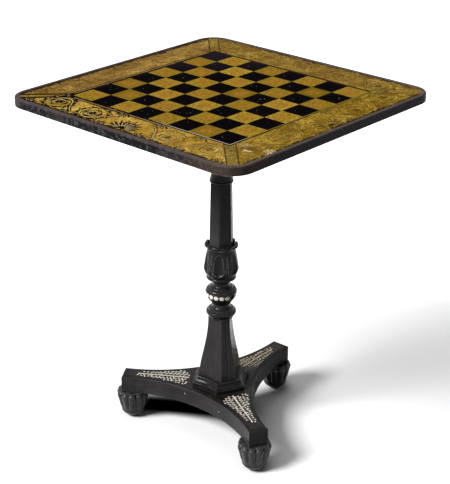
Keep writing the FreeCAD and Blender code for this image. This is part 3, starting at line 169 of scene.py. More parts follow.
# ------------------------------------------------------------------ node trees
class Tree:
    """A node tree under construction."""

    def __init__(self, tree: bpy.types.NodeTree) -> None:
        """Start with an empty tree."""
        self.tree = tree
        tree.nodes.clear()

    def feed(self, node: bpy.types.Node, key: Any, value: Any) -> None:
        """Give one input of a node a value, or link a socket to it.

        Args:
            node: the node.
            key: name or index of the input.
            value: number, colour, vector or output socket.
        """
        if isinstance(value, Socket):
            self.tree.links.new(value, node.inputs[key])
        else:
            node.inputs[key].default_value = value

    def add(self, kind: str, values: dict[Any, Any] | None = None, **settings: Any) -> bpy.types.Node:
        """Add a node.

        Args:
            kind: type of the node, without the words ShaderNode.
            values: value or output socket for each input, by name or index.
            settings: the node's own properties, which are set first.

        Returns:
            The new node.
        """
        node = self.tree.nodes.new("ShaderNode" + kind)
        for name, value in settings.items():
            setattr(node, name, value)
        for key, value in (values or {}).items():
            self.feed(node, key, value)
        return node

    def calc(self, operation: str, *terms: Any, clamp: bool = False) -> Socket:
        """Output of one Math node on numbers or sockets."""
        return self.add("Math", dict(enumerate(terms)), operation=operation, use_clamp=clamp).outputs[0]

    def times(self, first: Any, second: Any, clamp: bool = False) -> Socket:
        """Product of two numbers or sockets."""
        return self.calc("MULTIPLY", first, second, clamp=clamp)

    def plus(self, first: Any, second: Any) -> Socket:
        """Sum of two numbers or sockets."""
        return self.calc("ADD", first, second)

    def minus(self, first: Any, second: Any) -> Socket:
        """Difference of two numbers or sockets."""
        return self.calc("SUBTRACT", first, second)

    def size(self, value: Socket) -> Socket:
        """Value without its sign."""
        return self.calc("ABSOLUTE", value)

    def split(self, vector: Any) -> Any:
        """X, Y and Z of a vector."""
        return self.add("SeparateXYZ", {0: vector}).outputs

    def measure(self, operation: str, first: Any, second: Any) -> Socket:
        """Number that a Vector Math node gives for two vectors."""
        return self.add("VectorMath", {0: first, 1: second}, operation=operation).outputs["Value"]

    def blend(self, share: Any, first: Any, second: Any) -> Socket:
        """Mix of two colours, with a share of the second from 0 to 1."""
        return self.add("Mix", {0: share, 6: first, 7: second}, data_type="RGBA").outputs[2]

    def over(self, colour: Any, *layers: tuple[Any, Any]) -> Any:
        """Lay colours over another, one after the other.

        Args:
            colour: what lies below.
            layers: how much of each layer shows, and its colour.

        Returns:
            The layered colour.
        """
        for share, tone in layers:
            colour = self.blend(share, colour, tone)
        return colour

    def step(self, value: Socket, low: float, high: float, to: tuple[float, float] = (0.0, 1.0)) -> Socket:
        """Smooth step, from the first result where the value is low to the second where it is high."""
        values = {"Value": value, "From Min": low, "From Max": high, "To Min": to[0], "To Max": to[1]}
        return self.add("MapRange", values, interpolation_type="SMOOTHSTEP").outputs[0]

    def band(self, value: Socket, ends: Band) -> Socket:
        """1 where a value is in a band and 0 outside it, with soft ends."""
        start, full, fading, gone = ends
        return self.times(self.step(value, start, full), self.step(value, gone, fading))

    def noise(self, vector: Socket, scale: Any, detail: float = 3.0, rough: float = 0.55) -> Socket:
        """Value of a noise texture."""
        values = {"Vector": vector, "Scale": scale, "Detail": detail, "Roughness": rough}
        return self.add("TexNoise", values).outputs["Fac"]

    def ridge(self, vector: Socket, scale: float) -> Socket:
        """Noise that falls to 0 along fine wandering lines."""
        return self.size(self.minus(self.noise(vector, scale, 3.0, 0.6), 0.5))

    def place(self) -> Socket:
        """Place on the object at rest."""
        return self.add("TexCoord").outputs["Object"]

    def normal(self) -> Socket:
        """Way that the surface faces."""
        return self.add("NewGeometry").outputs["Normal"]

    def open_air(self, reach: Any, samples: int = 6, only_local: bool = True) -> Socket:
        """How open a place lies, from 0 in a deep crease to 1."""
        values = {"Distance": reach}
        return self.add("AmbientOcclusion", values, samples=samples, only_local=only_local).outputs["AO"]

    def group(self, effect: "Effect", values: dict[Any, Any]) -> dict[str, Socket]:
        """Outputs, by name, of a shared effect with these values for its inputs."""
        node = self.add("Group", values, node_tree=effect_group(effect))
        return {socket.name: socket for socket in node.outputs}


# ------------------------------------------------------------------ shared effects
class Effect(Enum):
    """Surface effects that several finishes share."""

    GRAIN = "grain"
    MOTTLE = "mottle"
    WORN_AND_HIGHLIT_EDGE = "rubbed edge"
    # dark creases: dirt and painted shade
    GRIME = "grime"
    DUST = "dust"
    SPECKS = "specks"
    SIDES = "sides"


def start_group(
    effect: Effect, outputs: Iterable[str], **inputs: float | None
) -> tuple[Tree, dict[str, Socket]]:
    """Open a new node group.

    Args:
        effect: the effect that it makes.
        outputs: names of its number outputs.
        inputs: usual value of each number input, or None for a vector.

    Returns:
        The group's tree and its inputs by name.
    """
    group = bpy.data.node_groups.new(effect.value, "ShaderNodeTree")
    for title, value in inputs.items():
        kind = "NodeSocketVector" if value is None else "NodeSocketFloat"
        socket = group.interface.new_socket(title, in_out="INPUT", socket_type=kind)
        if value is not None:
            socket.default_value = value
    for title in outputs:
        group.interface.new_socket(title, in_out="OUTPUT", socket_type="NodeSocketFloat")
    tree = Tree(group)
    source = group.nodes.new("NodeGroupInput")
    return tree, {socket.name: socket for socket in source.outputs if socket.name}


def close_group(tree: Tree, **results: Socket) -> bpy.types.NodeTree:
    """Link a group's results to its outputs.

    Args:
        tree: the group's tree.
        results: socket for each output.

    Returns:
        The node group.
    """
    sink = tree.tree.nodes.new("NodeGroupOutput")
    for title, socket in results.items():
        tree.tree.links.new(socket, sink.inputs[title])
    return tree.tree


def grain_group() -> bpy.types.NodeTree:
    """Long streaks and fine pores along the grain, for a vector that is stretched along it.

    Returns:
        The node group.
    """
    tree, given = start_group(Effect.GRAIN, ("Streak", "Pore"), Vector=None, Scale=60.0)
    streak = tree.noise(given["Vector"], given["Scale"], 4.0, 0.6)
    fine = tree.noise(given["Vector"], tree.times(given["Scale"], 9.0), 2.0, 0.7)
    return close_group(tree, Streak=streak, Pore=tree.step(fine, 0.56, 0.72))


def mottle_group() -> bpy.types.NodeTree:
    """Cloudy variation at three sizes.

    Returns:
        The node group.
    """
    tree, given = start_group(Effect.MOTTLE, ("Broad", "Middle", "Fine"), Vector=None, Scale=30.0)
    broad = tree.noise(given["Vector"], given["Scale"], 2.0)
    middle = tree.noise(given["Vector"], tree.times(given["Scale"], 5.3), 4.0, 0.65)
    fine = tree.noise(given["Vector"], tree.times(given["Scale"], 27.0), 3.0, 0.7)
    return close_group(tree, Broad=broad, Middle=middle, Fine=fine)


def worn_and_highlit_edge_group() -> bpy.types.NodeTree:
    """Broken wear along arrises that stand out; the same mask carries painted highlights along them.

    Returns:
        The node group.
    """
    tree, given = start_group(
        Effect.WORN_AND_HIGHLIT_EDGE, ("Mask",), Vector=None, Radius=0.0012, Amount=1.0, Scale=90.0
    )
    round_normal = tree.add("Bevel", {"Radius": given["Radius"]}, samples=6).outputs[0]
    edge = tree.step(tree.minus(1.0, tree.measure("DOT_PRODUCT", round_normal, tree.normal())), 0.01, 0.14)
    proud = tree.step(tree.open_air(0.004), 0.72, 0.9)
    broken = tree.step(tree.noise(given["Vector"], given["Scale"], 4.0, 0.7), 0.36, 0.62)
    worn = tree.times(tree.times(edge, proud), broken)
    return close_group(tree, Mask=tree.times(worn, given["Amount"], clamp=True))


def crease_dirt_and_shade_group() -> bpy.types.NodeTree:
    """Darkening in creases: dark dirt, and painted shade where the surface lies hemmed in.

    Returns:
        The node group.
    """
    tree, given = start_group(Effect.GRIME, ("Mask",), Reach=0.006, Amount=1.0)
    deep = tree.step(tree.open_air(given["Reach"]), 0.75, 0.25)
    return close_group(tree, Mask=tree.times(deep, given["Amount"], clamp=True))


def dust_group() -> bpy.types.NodeTree:
    """Thin dust on what faces up.

    Returns:
        The node group.
    """
    tree, given = start_group(Effect.DUST, ("Mask",), Vector=None, Amount=0.3, Scale=25.0)
    patchy = tree.step(tree.noise(given["Vector"], given["Scale"], 5.0, 0.65), 0.3, 0.75)
    lying = tree.times(tree.step(tree.split(tree.normal())[2], 0.1, 0.95), patchy)
    return close_group(tree, Mask=tree.times(lying, given["Amount"], clamp=True))


def specks_group() -> bpy.types.NodeTree:
    """Small scattered spots.

    Returns:
        The node group.
    """
    tree, given = start_group(Effect.SPECKS, ("Mask",), Vector=None, Scale=150.0, Size=0.16, Share=0.25)
    cells = tree.add("TexVoronoi", {"Vector": given["Vector"], "Scale": given["Scale"]}).outputs
    near = tree.calc("LESS_THAN", cells["Distance"], given["Size"])
    kept = tree.calc("LESS_THAN", tree.split(cells["Color"])[0], given["Share"])
    return close_group(tree, Mask=tree.times(near, kept))


def sides_group() -> bpy.types.NodeTree:
    """Which side of the top a place is on.

    Returns:
        The node group.
    """
    tree, given = start_group(Effect.SIDES, ("Front", "Right", "Back", "Left"), Vector=None)
    x, y, _ = tree.split(given["Vector"])
    along = tree.calc("GREATER_THAN", tree.size(y), tree.size(x))
    across = tree.minus(1.0, along)
    return close_group(
        tree,
        Front=tree.times(along, tree.calc("LESS_THAN", y, 0.0)),
        Right=tree.times(across, tree.calc("GREATER_THAN", x, 0.0)),
        Back=tree.times(along, tree.calc("GREATER_THAN", y, 0.0)),
        Left=tree.times(across, tree.calc("LESS_THAN", x, 0.0)),
    )


@cache
def effect_group(effect: Effect) -> bpy.types.NodeTree:
    """Node group of an effect, built on first use.

    Args:
        effect: the effect.

    Returns:
        Its node group.
    """
    makers: dict[Effect, Callable[[], bpy.types.NodeTree]] = {
        Effect.GRAIN: grain_group,
        Effect.MOTTLE: mottle_group,
        Effect.WORN_AND_HIGHLIT_EDGE: worn_and_highlit_edge_group,
        Effect.GRIME: crease_dirt_and_shade_group,
        Effect.DUST: dust_group,
        Effect.SPECKS: specks_group,
        Effect.SIDES: sides_group,
    }
    return makers[effect]()


# ------------------------------------------------------------------ finishes
@dataclass(frozen=True)
class Finish:
    """What every finish has: its name and the plain numbers of its surface."""

    name: str
    metal: float = 0.0
    specular: float = 0.5

    def open(self) -> tuple[bpy.types.Material, Tree, bpy.types.Node]:
        """Start a material.

        Returns:
            The material, its tree and its Principled shader.
        """
        material = bpy.data.materials.new(self.name)
        material.use_nodes = True
        tree = Tree(material.node_tree)
        shader = tree.add("BsdfPrincipled", {"Metallic": self.metal, "Specular IOR Level": self.specular})
        tree.add("OutputMaterial", {"Surface": shader.outputs[0]})
        return material, tree, shader

    def close(
        self, tree: Tree, shader: bpy.types.Node, colour: Socket, rough: Any, relief: Any, depth: float
    ) -> None:
        """Give a material its colour, roughness and relief.

        Args:
            tree: the material's tree.
            shader: its Principled shader.
            colour: base colour.
            rough: roughness.
            relief: relief, or None for a smooth surface.
            depth: depth of the relief.
        """
        tree.feed(shader, "Base Color", colour)
        tree.feed(shader, "Roughness", rough)
        if relief is not None:
            bump = tree.add("Bump", {"Strength": 0.6, "Distance": depth, "Height": relief})
            tree.feed(shader, "Normal", bump.outputs[0])


@dataclass(frozen=True)
class BlackWood(Finish):
    """Black-stained and polished wood: arrises worn pale and painted as highlights, dust above, creases
    darkened by dirt and painted shade.
    """

    stain: Colour = paint(0.17, 0.163, 0.168)
    faded: Colour = paint(0.24, 0.232, 0.24)
    # pale colour of the arrises: their wear, and a painted highlight where it is near white
    rubbed_and_highlit: Colour = paint(0.42, 0.4, 0.38)
    grain: Grain = Grain.ALONG_Z
    rub_and_highlight: float = 0.5
    dust: float = 0.1
    gloss: float = 0.28
    specular: float = 0.1
    upper: Colour | None = None  # colour of what faces up, where it is another

    def build(self) -> bpy.types.Material:
        """Make the material.

        Returns:
            The new material.
        """
        material, tree, shader = self.open()
        place = tree.place()
        grain = self.grain.streaks(tree, place, 70.0)
        cloud = tree.group(Effect.MOTTLE, {"Vector": place, "Scale": 14.0})
        edge = tree.group(Effect.WORN_AND_HIGHLIT_EDGE, {"Vector": place, "Amount": self.rub_and_highlight})
        grime = tree.group(Effect.GRIME, {"Amount": 0.75})
        dust = tree.group(Effect.DUST, {"Vector": place, "Amount": self.dust})
        chips = tree.group(Effect.SPECKS, {"Vector": place, "Scale": 95.0, "Size": 0.09, "Share": 0.05})
        mixed = tree.calc("MULTIPLY_ADD", grain["Streak"], 0.6, tree.times(cloud["Broad"], 0.5))
        colour = tree.blend(tree.step(mixed, 0.38, 0.75), self.stain, self.faded)
        if self.upper:
            facing_up = tree.step(tree.split(tree.normal())[2], 0.6, 0.9, (0.0, 0.85))
            colour = tree.blend(facing_up, colour, self.upper)
        colour = tree.over(
            colour,
            (tree.times(grain["Pore"], 0.35), paint(0.06, 0.055, 0.055)),
            (dust["Mask"], paint(0.36, 0.34, 0.32)),
            # creases darkened: dirt and painted shade
            (grime["Mask"], paint(0.03, 0.027, 0.027)),
            # pale arrises: wear, and painted highlights on the carved, turned and moulded pieces
            (edge["Mask"], self.rubbed_and_highlit),
            (tree.times(chips["Mask"], 0.5), paint(0.6, 0.56, 0.5)),
        )
        rough = tree.step(cloud["Middle"], 0.25, 0.75, (self.gloss - 0.07, self.gloss + 0.12))
        rough = tree.plus(rough, tree.times(dust["Mask"], 0.5))
        relief = tree.calc("MULTIPLY_ADD", grain["Pore"], -0.5, tree.times(cloud["Middle"], 0.6))
        self.close(tree, shader, colour, rough, relief, 0.0003)
        return material


@dataclass(frozen=True)
class EdgingWood(Finish):
    """Dark grey-brown edging, knocked and worn on its arrises, pale near the corner that is used most."""

    worn_corner: tuple[float, float, float] = (0.262, -0.262, LIP_TOP * MM)
    grain: Grain = Grain.ALONG_X
    specular: float = 0.04

    def build(self) -> bpy.types.Material:
        """Make the material.

        Returns:
            The new material.
        """
        material, tree, shader = self.open()
        place = tree.place()
        grain = self.grain.streaks(tree, place, 110.0)
        cloud = tree.group(Effect.MOTTLE, {"Vector": place, "Scale": 22.0})
        worn = {"Vector": place, "Amount": 0.75, "Radius": 0.0016, "Scale": 60.0}
        edge = tree.group(Effect.WORN_AND_HIGHLIT_EDGE, worn)
        near = tree.step(tree.measure("DISTANCE", place, self.worn_corner), 0.13, 0.02)
        x, y, z = tree.split(place)
        off_joint = tree.step(tree.size(tree.minus(tree.size(x), tree.size(y))), 0.001, 0.004)
        pale = tree.times(edge["Mask"], tree.calc("MULTIPLY_ADD", near, 1.2, 0.45), clamp=True)
        lip = tree.step(tree.calc("MULTIPLY_ADD", cloud["Middle"], 0.004, z), 0.7312, 0.7334)
        colour = tree.over(
            paint(0.07, 0.065, 0.075),
            (tree.step(cloud["Broad"], 0.42, 0.6), paint(0.22, 0.195, 0.195)),
            (tree.step(cloud["Middle"], 0.5, 0.62), paint(0.3, 0.31, 0.31)),
            (tree.step(cloud["Middle"], 0.47, 0.36, (0.0, 0.8)), paint(0.03, 0.028, 0.035)),
            (tree.times(grain["Streak"], 0.35), paint(0.09, 0.08, 0.085)),
            (tree.times(lip, 0.6), paint(0.32, 0.27, 0.27)),
            (tree.times(near, 0.55), paint(0.34, 0.29, 0.26)),
            (tree.times(pale, off_joint), paint(0.74, 0.66, 0.54)),
        )
        rough = tree.step(cloud["Middle"], 0.3, 0.75, (0.38, 0.62))
        relief = tree.calc("MULTIPLY_ADD", cloud["Middle"], 1.2, tree.times(grain["Streak"], 0.5))
        self.close(tree, shader, colour, rough, relief, 0.0006)
        return material


@dataclass(frozen=True)
class GoldGround(Finish):
    """Varnished gold ground of the border, mottled, and darkened almost to black along its outer edge."""

    light: Colour = paint(0.7, 0.56, 0.25)
    deep: Colour = paint(0.43, 0.33, 0.1)
    warm: Colour = paint(0.66, 0.42, 0.12)
    cool: Colour = paint(0.42, 0.38, 0.15)
    edge_dark_width: float = 0.006
    inked: float = 0.0  # black and pale strokes along the board's line and the mitres
    ink_reach: float = 0.3  # how far they go from the front left corner
    bare_patches: tuple[tuple[float, float, float], ...] = ()  # x, y and radius of worn places
    specular: float = 0.0

    def build(self) -> bpy.types.Material:
        """Make the material.

        Returns:
            The new material.
        """
        material, tree, shader = self.open()
        place = tree.place()
        cloud = tree.group(Effect.MOTTLE, {"Vector": place, "Scale": 24.0})
        spread = tree.group(Effect.MOTTLE, {"Vector": place, "Scale": 61.0})
        threads = tree.step(cloud["Broad"], 0.38, 0.62)
        bright = tree.blend(0.5, self.light, paint(0.88, 0.76, 0.36))
        brown = tree.blend(0.4, self.deep, paint(0.2, 0.14, 0.05))
        colour = tree.over(
            self.deep,
            (tree.step(cloud["Broad"], 0.3, 0.7), self.light),
            (tree.step(cloud["Middle"], 0.46, 0.62, (0.0, 0.55)), self.warm),
            (tree.step(spread["Broad"], 0.5, 0.7, (0.0, 0.5)), self.cool),
            (tree.step(spread["Middle"], 0.47, 0.6, (0.0, 0.55)), self.deep),
            (tree.step(spread["Middle"], 0.46, 0.34, (0.0, 0.6)), bright),
            (tree.step(cloud["Fine"], 0.5, 0.7, (0.0, 0.5)), brown),
            (self.thread(tree, place, 58.0, threads, 0.75), paint(0.25, 0.19, 0.06)),
            (self.thread(tree, place, 83.0, threads, 0.6), paint(0.86, 0.74, 0.36)),
        )
        x, y, _ = tree.split(place)
        across = tree.calc("MAXIMUM", tree.size(x), tree.size(y))
        wander = tree.plus(tree.times(cloud["Middle"], 0.03), tree.times(cloud["Broad"], 0.03))
        ragged = tree.plus(across, tree.minus(wander, 0.03))
        edge_darkened = tree.step(ragged, FIELD_HALF * MM - self.edge_dark_width, FIELD_HALF * MM - 0.6 * self.edge_dark_width)
        colour = tree.blend(tree.times(edge_darkened, 0.92), colour, paint(0.1, 0.08, 0.07))
        if self.inked:
            colour = self.ink_edges(tree, place, colour, across, spread["Middle"])
        flaked = tree.step(tree.noise(place, 33.0, 5.0, 0.6), 0.74, 0.78)
        colour = tree.blend(flaked, colour, paint(0.84, 0.74, 0.55))
        for *middle, reach in self.bare_patches:
            away = tree.measure("DISTANCE", place, (*middle, BOARD_TOP * MM))
            torn = tree.plus(away, tree.times(tree.minus(spread["Middle"], 0.5), 0.05))
            colour = tree.blend(tree.step(torn, reach, reach * 0.6), colour, paint(0.86, 0.76, 0.56))
        rough = tree.step(cloud["Middle"], 0.3, 0.7, (0.34, 0.52))
        self.close(tree, shader, colour, rough, spread["Middle"], 0.0004)
        return material

    def thread(self, tree: Tree, place: Socket, scale: float, where: Socket, share: float) -> Socket:
        """How much shows of the fine wandering lines of old paint under the varnish."""
        return tree.times(tree.times(tree.step(tree.ridge(place, scale), 0.03, 0.008), where), share)

    def ink_edges(self, tree: Tree, place: Socket, colour: Socket, across: Socket, ragged: Socket) -> Socket:
        """Draw what is left of the old strokes beside the board's line and the mitres.

        Args:
            tree: the material's tree.
            place: place on the top.
            colour: colour of the gold so far.
            across: distance from the middle towards the nearest side.
            ragged: noise that breaks the strokes' edges.

        Returns:
            The colour with the strokes.
        """
        away = tree.measure("DISTANCE", place, (-NEAR_CORNER * MM, -NEAR_CORNER * MM, BOARD_TOP * MM))
        fresh = tree.times(tree.step(away, self.ink_reach, self.ink_reach * 0.6), self.inked)
        x, y, _ = tree.split(place)
        from_mitre = tree.times(tree.size(tree.minus(tree.size(x), tree.size(y))), math.sqrt(0.5))
        shake = tree.times(tree.minus(ragged, 0.5), 0.006)
        along = tree.plus(tree.minus(across, BOARD_LINES_HALF * MM), shake)
        beside = tree.plus(tree.size(tree.minus(from_mitre, MITRE_BAND_HALF * MM)), shake)
        pale = tree.times(tree.step(along, 0.0034, 0.0026), fresh)
        thick = tree.band(along, (0.0026, 0.0034, 0.0068, 0.0078))
        thick = tree.calc("MAXIMUM", thick, tree.step(beside, 0.0046, 0.0036))
        return tree.over(
            colour,
            (tree.times(pale, 0.75), paint(0.5, 0.42, 0.33)),
            (tree.times(thick, fresh), paint(0.06, 0.045, 0.04)),
        )


@dataclass(frozen=True)
class BoardSquare(Finish):
    """Squares of the board, each a little unlike its neighbours."""

    main: Colour = paint(0.77, 0.63, 0.24)
    other: Colour = paint(0.47, 0.38, 0.09)
    blotch: Colour = paint(0.78, 0.48, 0.2)
    heart: Colour = paint(0.69, 0.49, 0.15)  # towards the square's middle
    pitted: float = 0.0
    specular: float = 0.0
    gloss: float = 0.3
    painted_sheen: Colour | None = None  # colour towards the back left corner: painted sheen of reflected light on the far squares

    def build(self) -> bpy.types.Material:
        """Make the material.

        Returns:
            The new material.
        """
        material, tree, shader = self.open()
        place = tree.place()
        cell = tree.add("VectorMath", {0: place, 3: 1.0 / (SQUARE * MM)}, operation="SCALE").outputs[0]
        square = tree.add("VectorMath", {0: cell}, operation="FLOOR").outputs[0]
        inside = tree.add("VectorMath", {0: cell}, operation="FRACTION").outputs[0]
        shifted = tree.add("VectorMath", {0: square, 1: place}, operation="ADD").outputs[0]
        own = tree.add("TexWhiteNoise", {"Vector": square}, noise_dimensions="2D").outputs["Value"]
        cloud = tree.group(Effect.MOTTLE, {"Vector": shifted, "Scale": 46.0})
        grain = Grain.ALONG_X.streaks(tree, shifted, 130.0)
        middle = tree.measure("DISTANCE", inside, (0.5, 0.5, 0.62))
        spot = tree.times(tree.step(cloud["Broad"], 0.42, 0.68), tree.step(middle, 0.6, 0.1))
        dark = tree.blend(0.45, self.other, paint(0.05, 0.04, 0.02))
        pits = tree.group(Effect.SPECKS, {"Vector": shifted, "Scale": 210.0, "Size": 0.2, "Share": 0.16})
        heart = tree.step(tree.plus(middle, tree.times(cloud["Broad"], 0.5)), 0.62, 0.34)
        colour = tree.over(
            self.main,
            (own, self.other),
            (tree.step(middle, 0.5, 0.1, (0.0, 0.65)), self.heart),
            (tree.times(spot, 0.7), self.blotch),
            (tree.step(cloud["Middle"], 0.47, 0.58, (0.0, 0.75)), self.other),
            (tree.times(grain["Pore"], 0.35), dark),
            (tree.step(cloud["Fine"], 0.5, 0.64, (0.0, 0.6)), dark),
            (tree.times(tree.times(pits["Mask"], heart), self.pitted), paint(0.75, 0.76, 0.72)),
        )
        # painted sheen of reflected light, growing towards the back left corner
        if self.painted_sheen:
            x, y, _ = tree.split(place)
            colour = tree.blend(tree.step(tree.minus(y, x), 0.12, 0.4, (0.0, 0.9)), colour, self.painted_sheen)
        vein = tree.step(tree.ridge(shifted, 120.0), 0.035, 0.0, (0.0, 0.55))
        colour = tree.blend(vein, colour, tree.blend(0.5, self.other, paint(0.16, 0.09, 0.03)))
        rough = tree.step(cloud["Middle"], 0.3, 0.75, (self.gloss - 0.05, self.gloss + 0.15))
        self.close(tree, shader, colour, rough, cloud["Middle"], 0.0002)
        return material


@dataclass(frozen=True)
class InkLine(Finish):
    """Dark drawn or inlaid line that fades, where it is worn, to the colour of what lies round it."""

    ink: Colour = paint(0.1, 0.075, 0.06)
    worn: Colour = paint(0.45, 0.36, 0.14)
    fresh_end: tuple[float, float] = (0.0, 0.0)
    fade_from: float = 0.3
    fade_to: float = 0.55
    patch: float = 0.5
    worn_sides: tuple[Colour, Colour, Colour, Colour] | None = None  # front, right, back and left
    chipped: float = 0.0
    specular: float = 0.0

    def build(self) -> bpy.types.Material:
        """Make the material.

        Returns:
            The new material.
        """
        material, tree, shader = self.open()
        place = tree.place()
        away = tree.measure("DISTANCE", place, (*self.fresh_end, BOARD_TOP * MM))
        cloud = tree.group(Effect.MOTTLE, {"Vector": place, "Scale": 28.0})
        gone = tree.calc("MULTIPLY_ADD", tree.minus(cloud["Middle"], 0.5), self.patch, away)
        mixed = tree.blend(0.4, self.worn, self.ink)
        tint = tree.blend(tree.step(cloud["Broad"], 0.35, 0.7), self.worn, mixed)
        if self.worn_sides:
            sides = tree.group(Effect.SIDES, {"Vector": place})
            tint = tree.over(tint, *zip(sides.values(), self.worn_sides))
        colour = tree.blend(tree.step(gone, self.fade_from, self.fade_to), self.ink, tint)
        if self.chipped:
            chips = tree.step(tree.noise(place, 120.0, 4.0, 0.7), 0.6, 0.66, (0.0, self.chipped))
            colour = tree.blend(chips, colour, paint(0.72, 0.6, 0.4))
        self.close(tree, shader, colour, 0.45, None, 0.0)
        return material


@dataclass(frozen=True)
class Bone(Finish):
    """Bone: warm white, yellower in blotches, with fine dark pores."""

    specular: float = 0.3
    main: Colour = paint(0.95, 0.92, 0.86)
    other: Colour = paint(0.85, 0.8, 0.68)
    soiled: float = 0.25

    def build(self) -> bpy.types.Material:
        """Make the material.

        Returns:
            The new material.
        """
        material, tree, shader = self.open()
        place = tree.place()
        cloud = tree.group(Effect.MOTTLE, {"Vector": place, "Scale": 60.0})
        pores = tree.group(Effect.SPECKS, {"Vector": place, "Scale": 900.0, "Size": 0.25, "Share": 0.3})
        colour = tree.over(
            self.main,
            (tree.step(cloud["Broad"], 0.35, 0.7), self.other),
            (tree.step(cloud["Middle"], 0.55, 0.75, (0.0, self.soiled)), paint(0.45, 0.38, 0.28)),
            (tree.times(pores["Mask"], 0.35), paint(0.4, 0.33, 0.24)),
        )
        rough = tree.step(cloud["Middle"], 0.3, 0.7, (0.28, 0.46))
        self.close(tree, shader, colour, rough, cloud["Fine"], 0.0001)
        return material


@dataclass(frozen=True)
class Metal(Finish):
    """Old metal, tarnished in patches and bright where it rubs."""

    bright: Colour = paint(0.83, 0.66, 0.36)
    tarnish: Colour = paint(0.4, 0.29, 0.15)
    gloss: float = 0.3
    metal: float = 1.0

    def build(self) -> bpy.types.Material:
        """Make the material.

        Returns:
            The new material.
        """
        material, tree, shader = self.open()
        place = tree.place()
        cloud = tree.group(Effect.MOTTLE, {"Vector": place, "Scale": 55.0})
        edge = tree.group(Effect.WORN_AND_HIGHLIT_EDGE, {"Vector": place, "Radius": 0.0005, "Amount": 0.9})
        grime = tree.group(Effect.GRIME, {"Reach": 0.003, "Amount": 0.8})
        mixed = tree.calc("MULTIPLY_ADD", cloud["Middle"], 0.5, cloud["Broad"])
        colour = tree.over(
            self.bright,
            (tree.step(mixed, 0.55, 0.95), self.tarnish),
            # creases darkened: dirt and painted shade
            (grime["Mask"], paint(0.12, 0.09, 0.06)),
            (edge["Mask"], self.bright),
        )
        rough = tree.step(cloud["Middle"], 0.3, 0.7, (self.gloss - 0.06, self.gloss + 0.22))
        self.close(tree, shader, colour, rough, cloud["Fine"], 0.0001)
        return material


@dataclass(frozen=True)
class PlainWood(Finish):
    """Wood that is never on show: stained, unpolished, with open grain and old dust."""

    pale: Colour = paint(0.36, 0.25, 0.16)
    dark: Colour = paint(0.19, 0.13, 0.09)
    grain: Grain = Grain.ALONG_X
    specular: float = 0.2

    def build(self) -> bpy.types.Material:
        """Make the material.

        Returns:
            The new material.
        """
        material, tree, shader = self.open()
        place = tree.place()
        grain = self.grain.streaks(tree, place, 42.0)
        cloud = tree.group(Effect.MOTTLE, {"Vector": place, "Scale": 9.0})
        dust = tree.group(Effect.DUST, {"Vector": place, "Amount": 0.35})
        grime = tree.group(Effect.GRIME, {"Amount": 0.6, "Reach": 0.01})
        colour = tree.over(
            self.dark,
            (tree.step(grain["Streak"], 0.32, 0.68), self.pale),
            (tree.step(cloud["Broad"], 0.45, 0.75, (0.0, 0.5)), self.dark),
            (tree.times(grain["Pore"], 0.45), paint(0.09, 0.06, 0.04)),
            (dust["Mask"], paint(0.45, 0.41, 0.36)),
            # creases darkened: dirt and painted shade
            (grime["Mask"], paint(0.08, 0.06, 0.05)),
        )
        rough = tree.step(grain["Streak"], 0.3, 0.7, (0.62, 0.8))
        self.close(tree, shader, colour, rough, grain["Pore"], -0.0004)
        return material


@cache
def material_of(finish: Finish) -> bpy.types.Material:
    """Material of a finish, made on first use."""
    return finish.build()


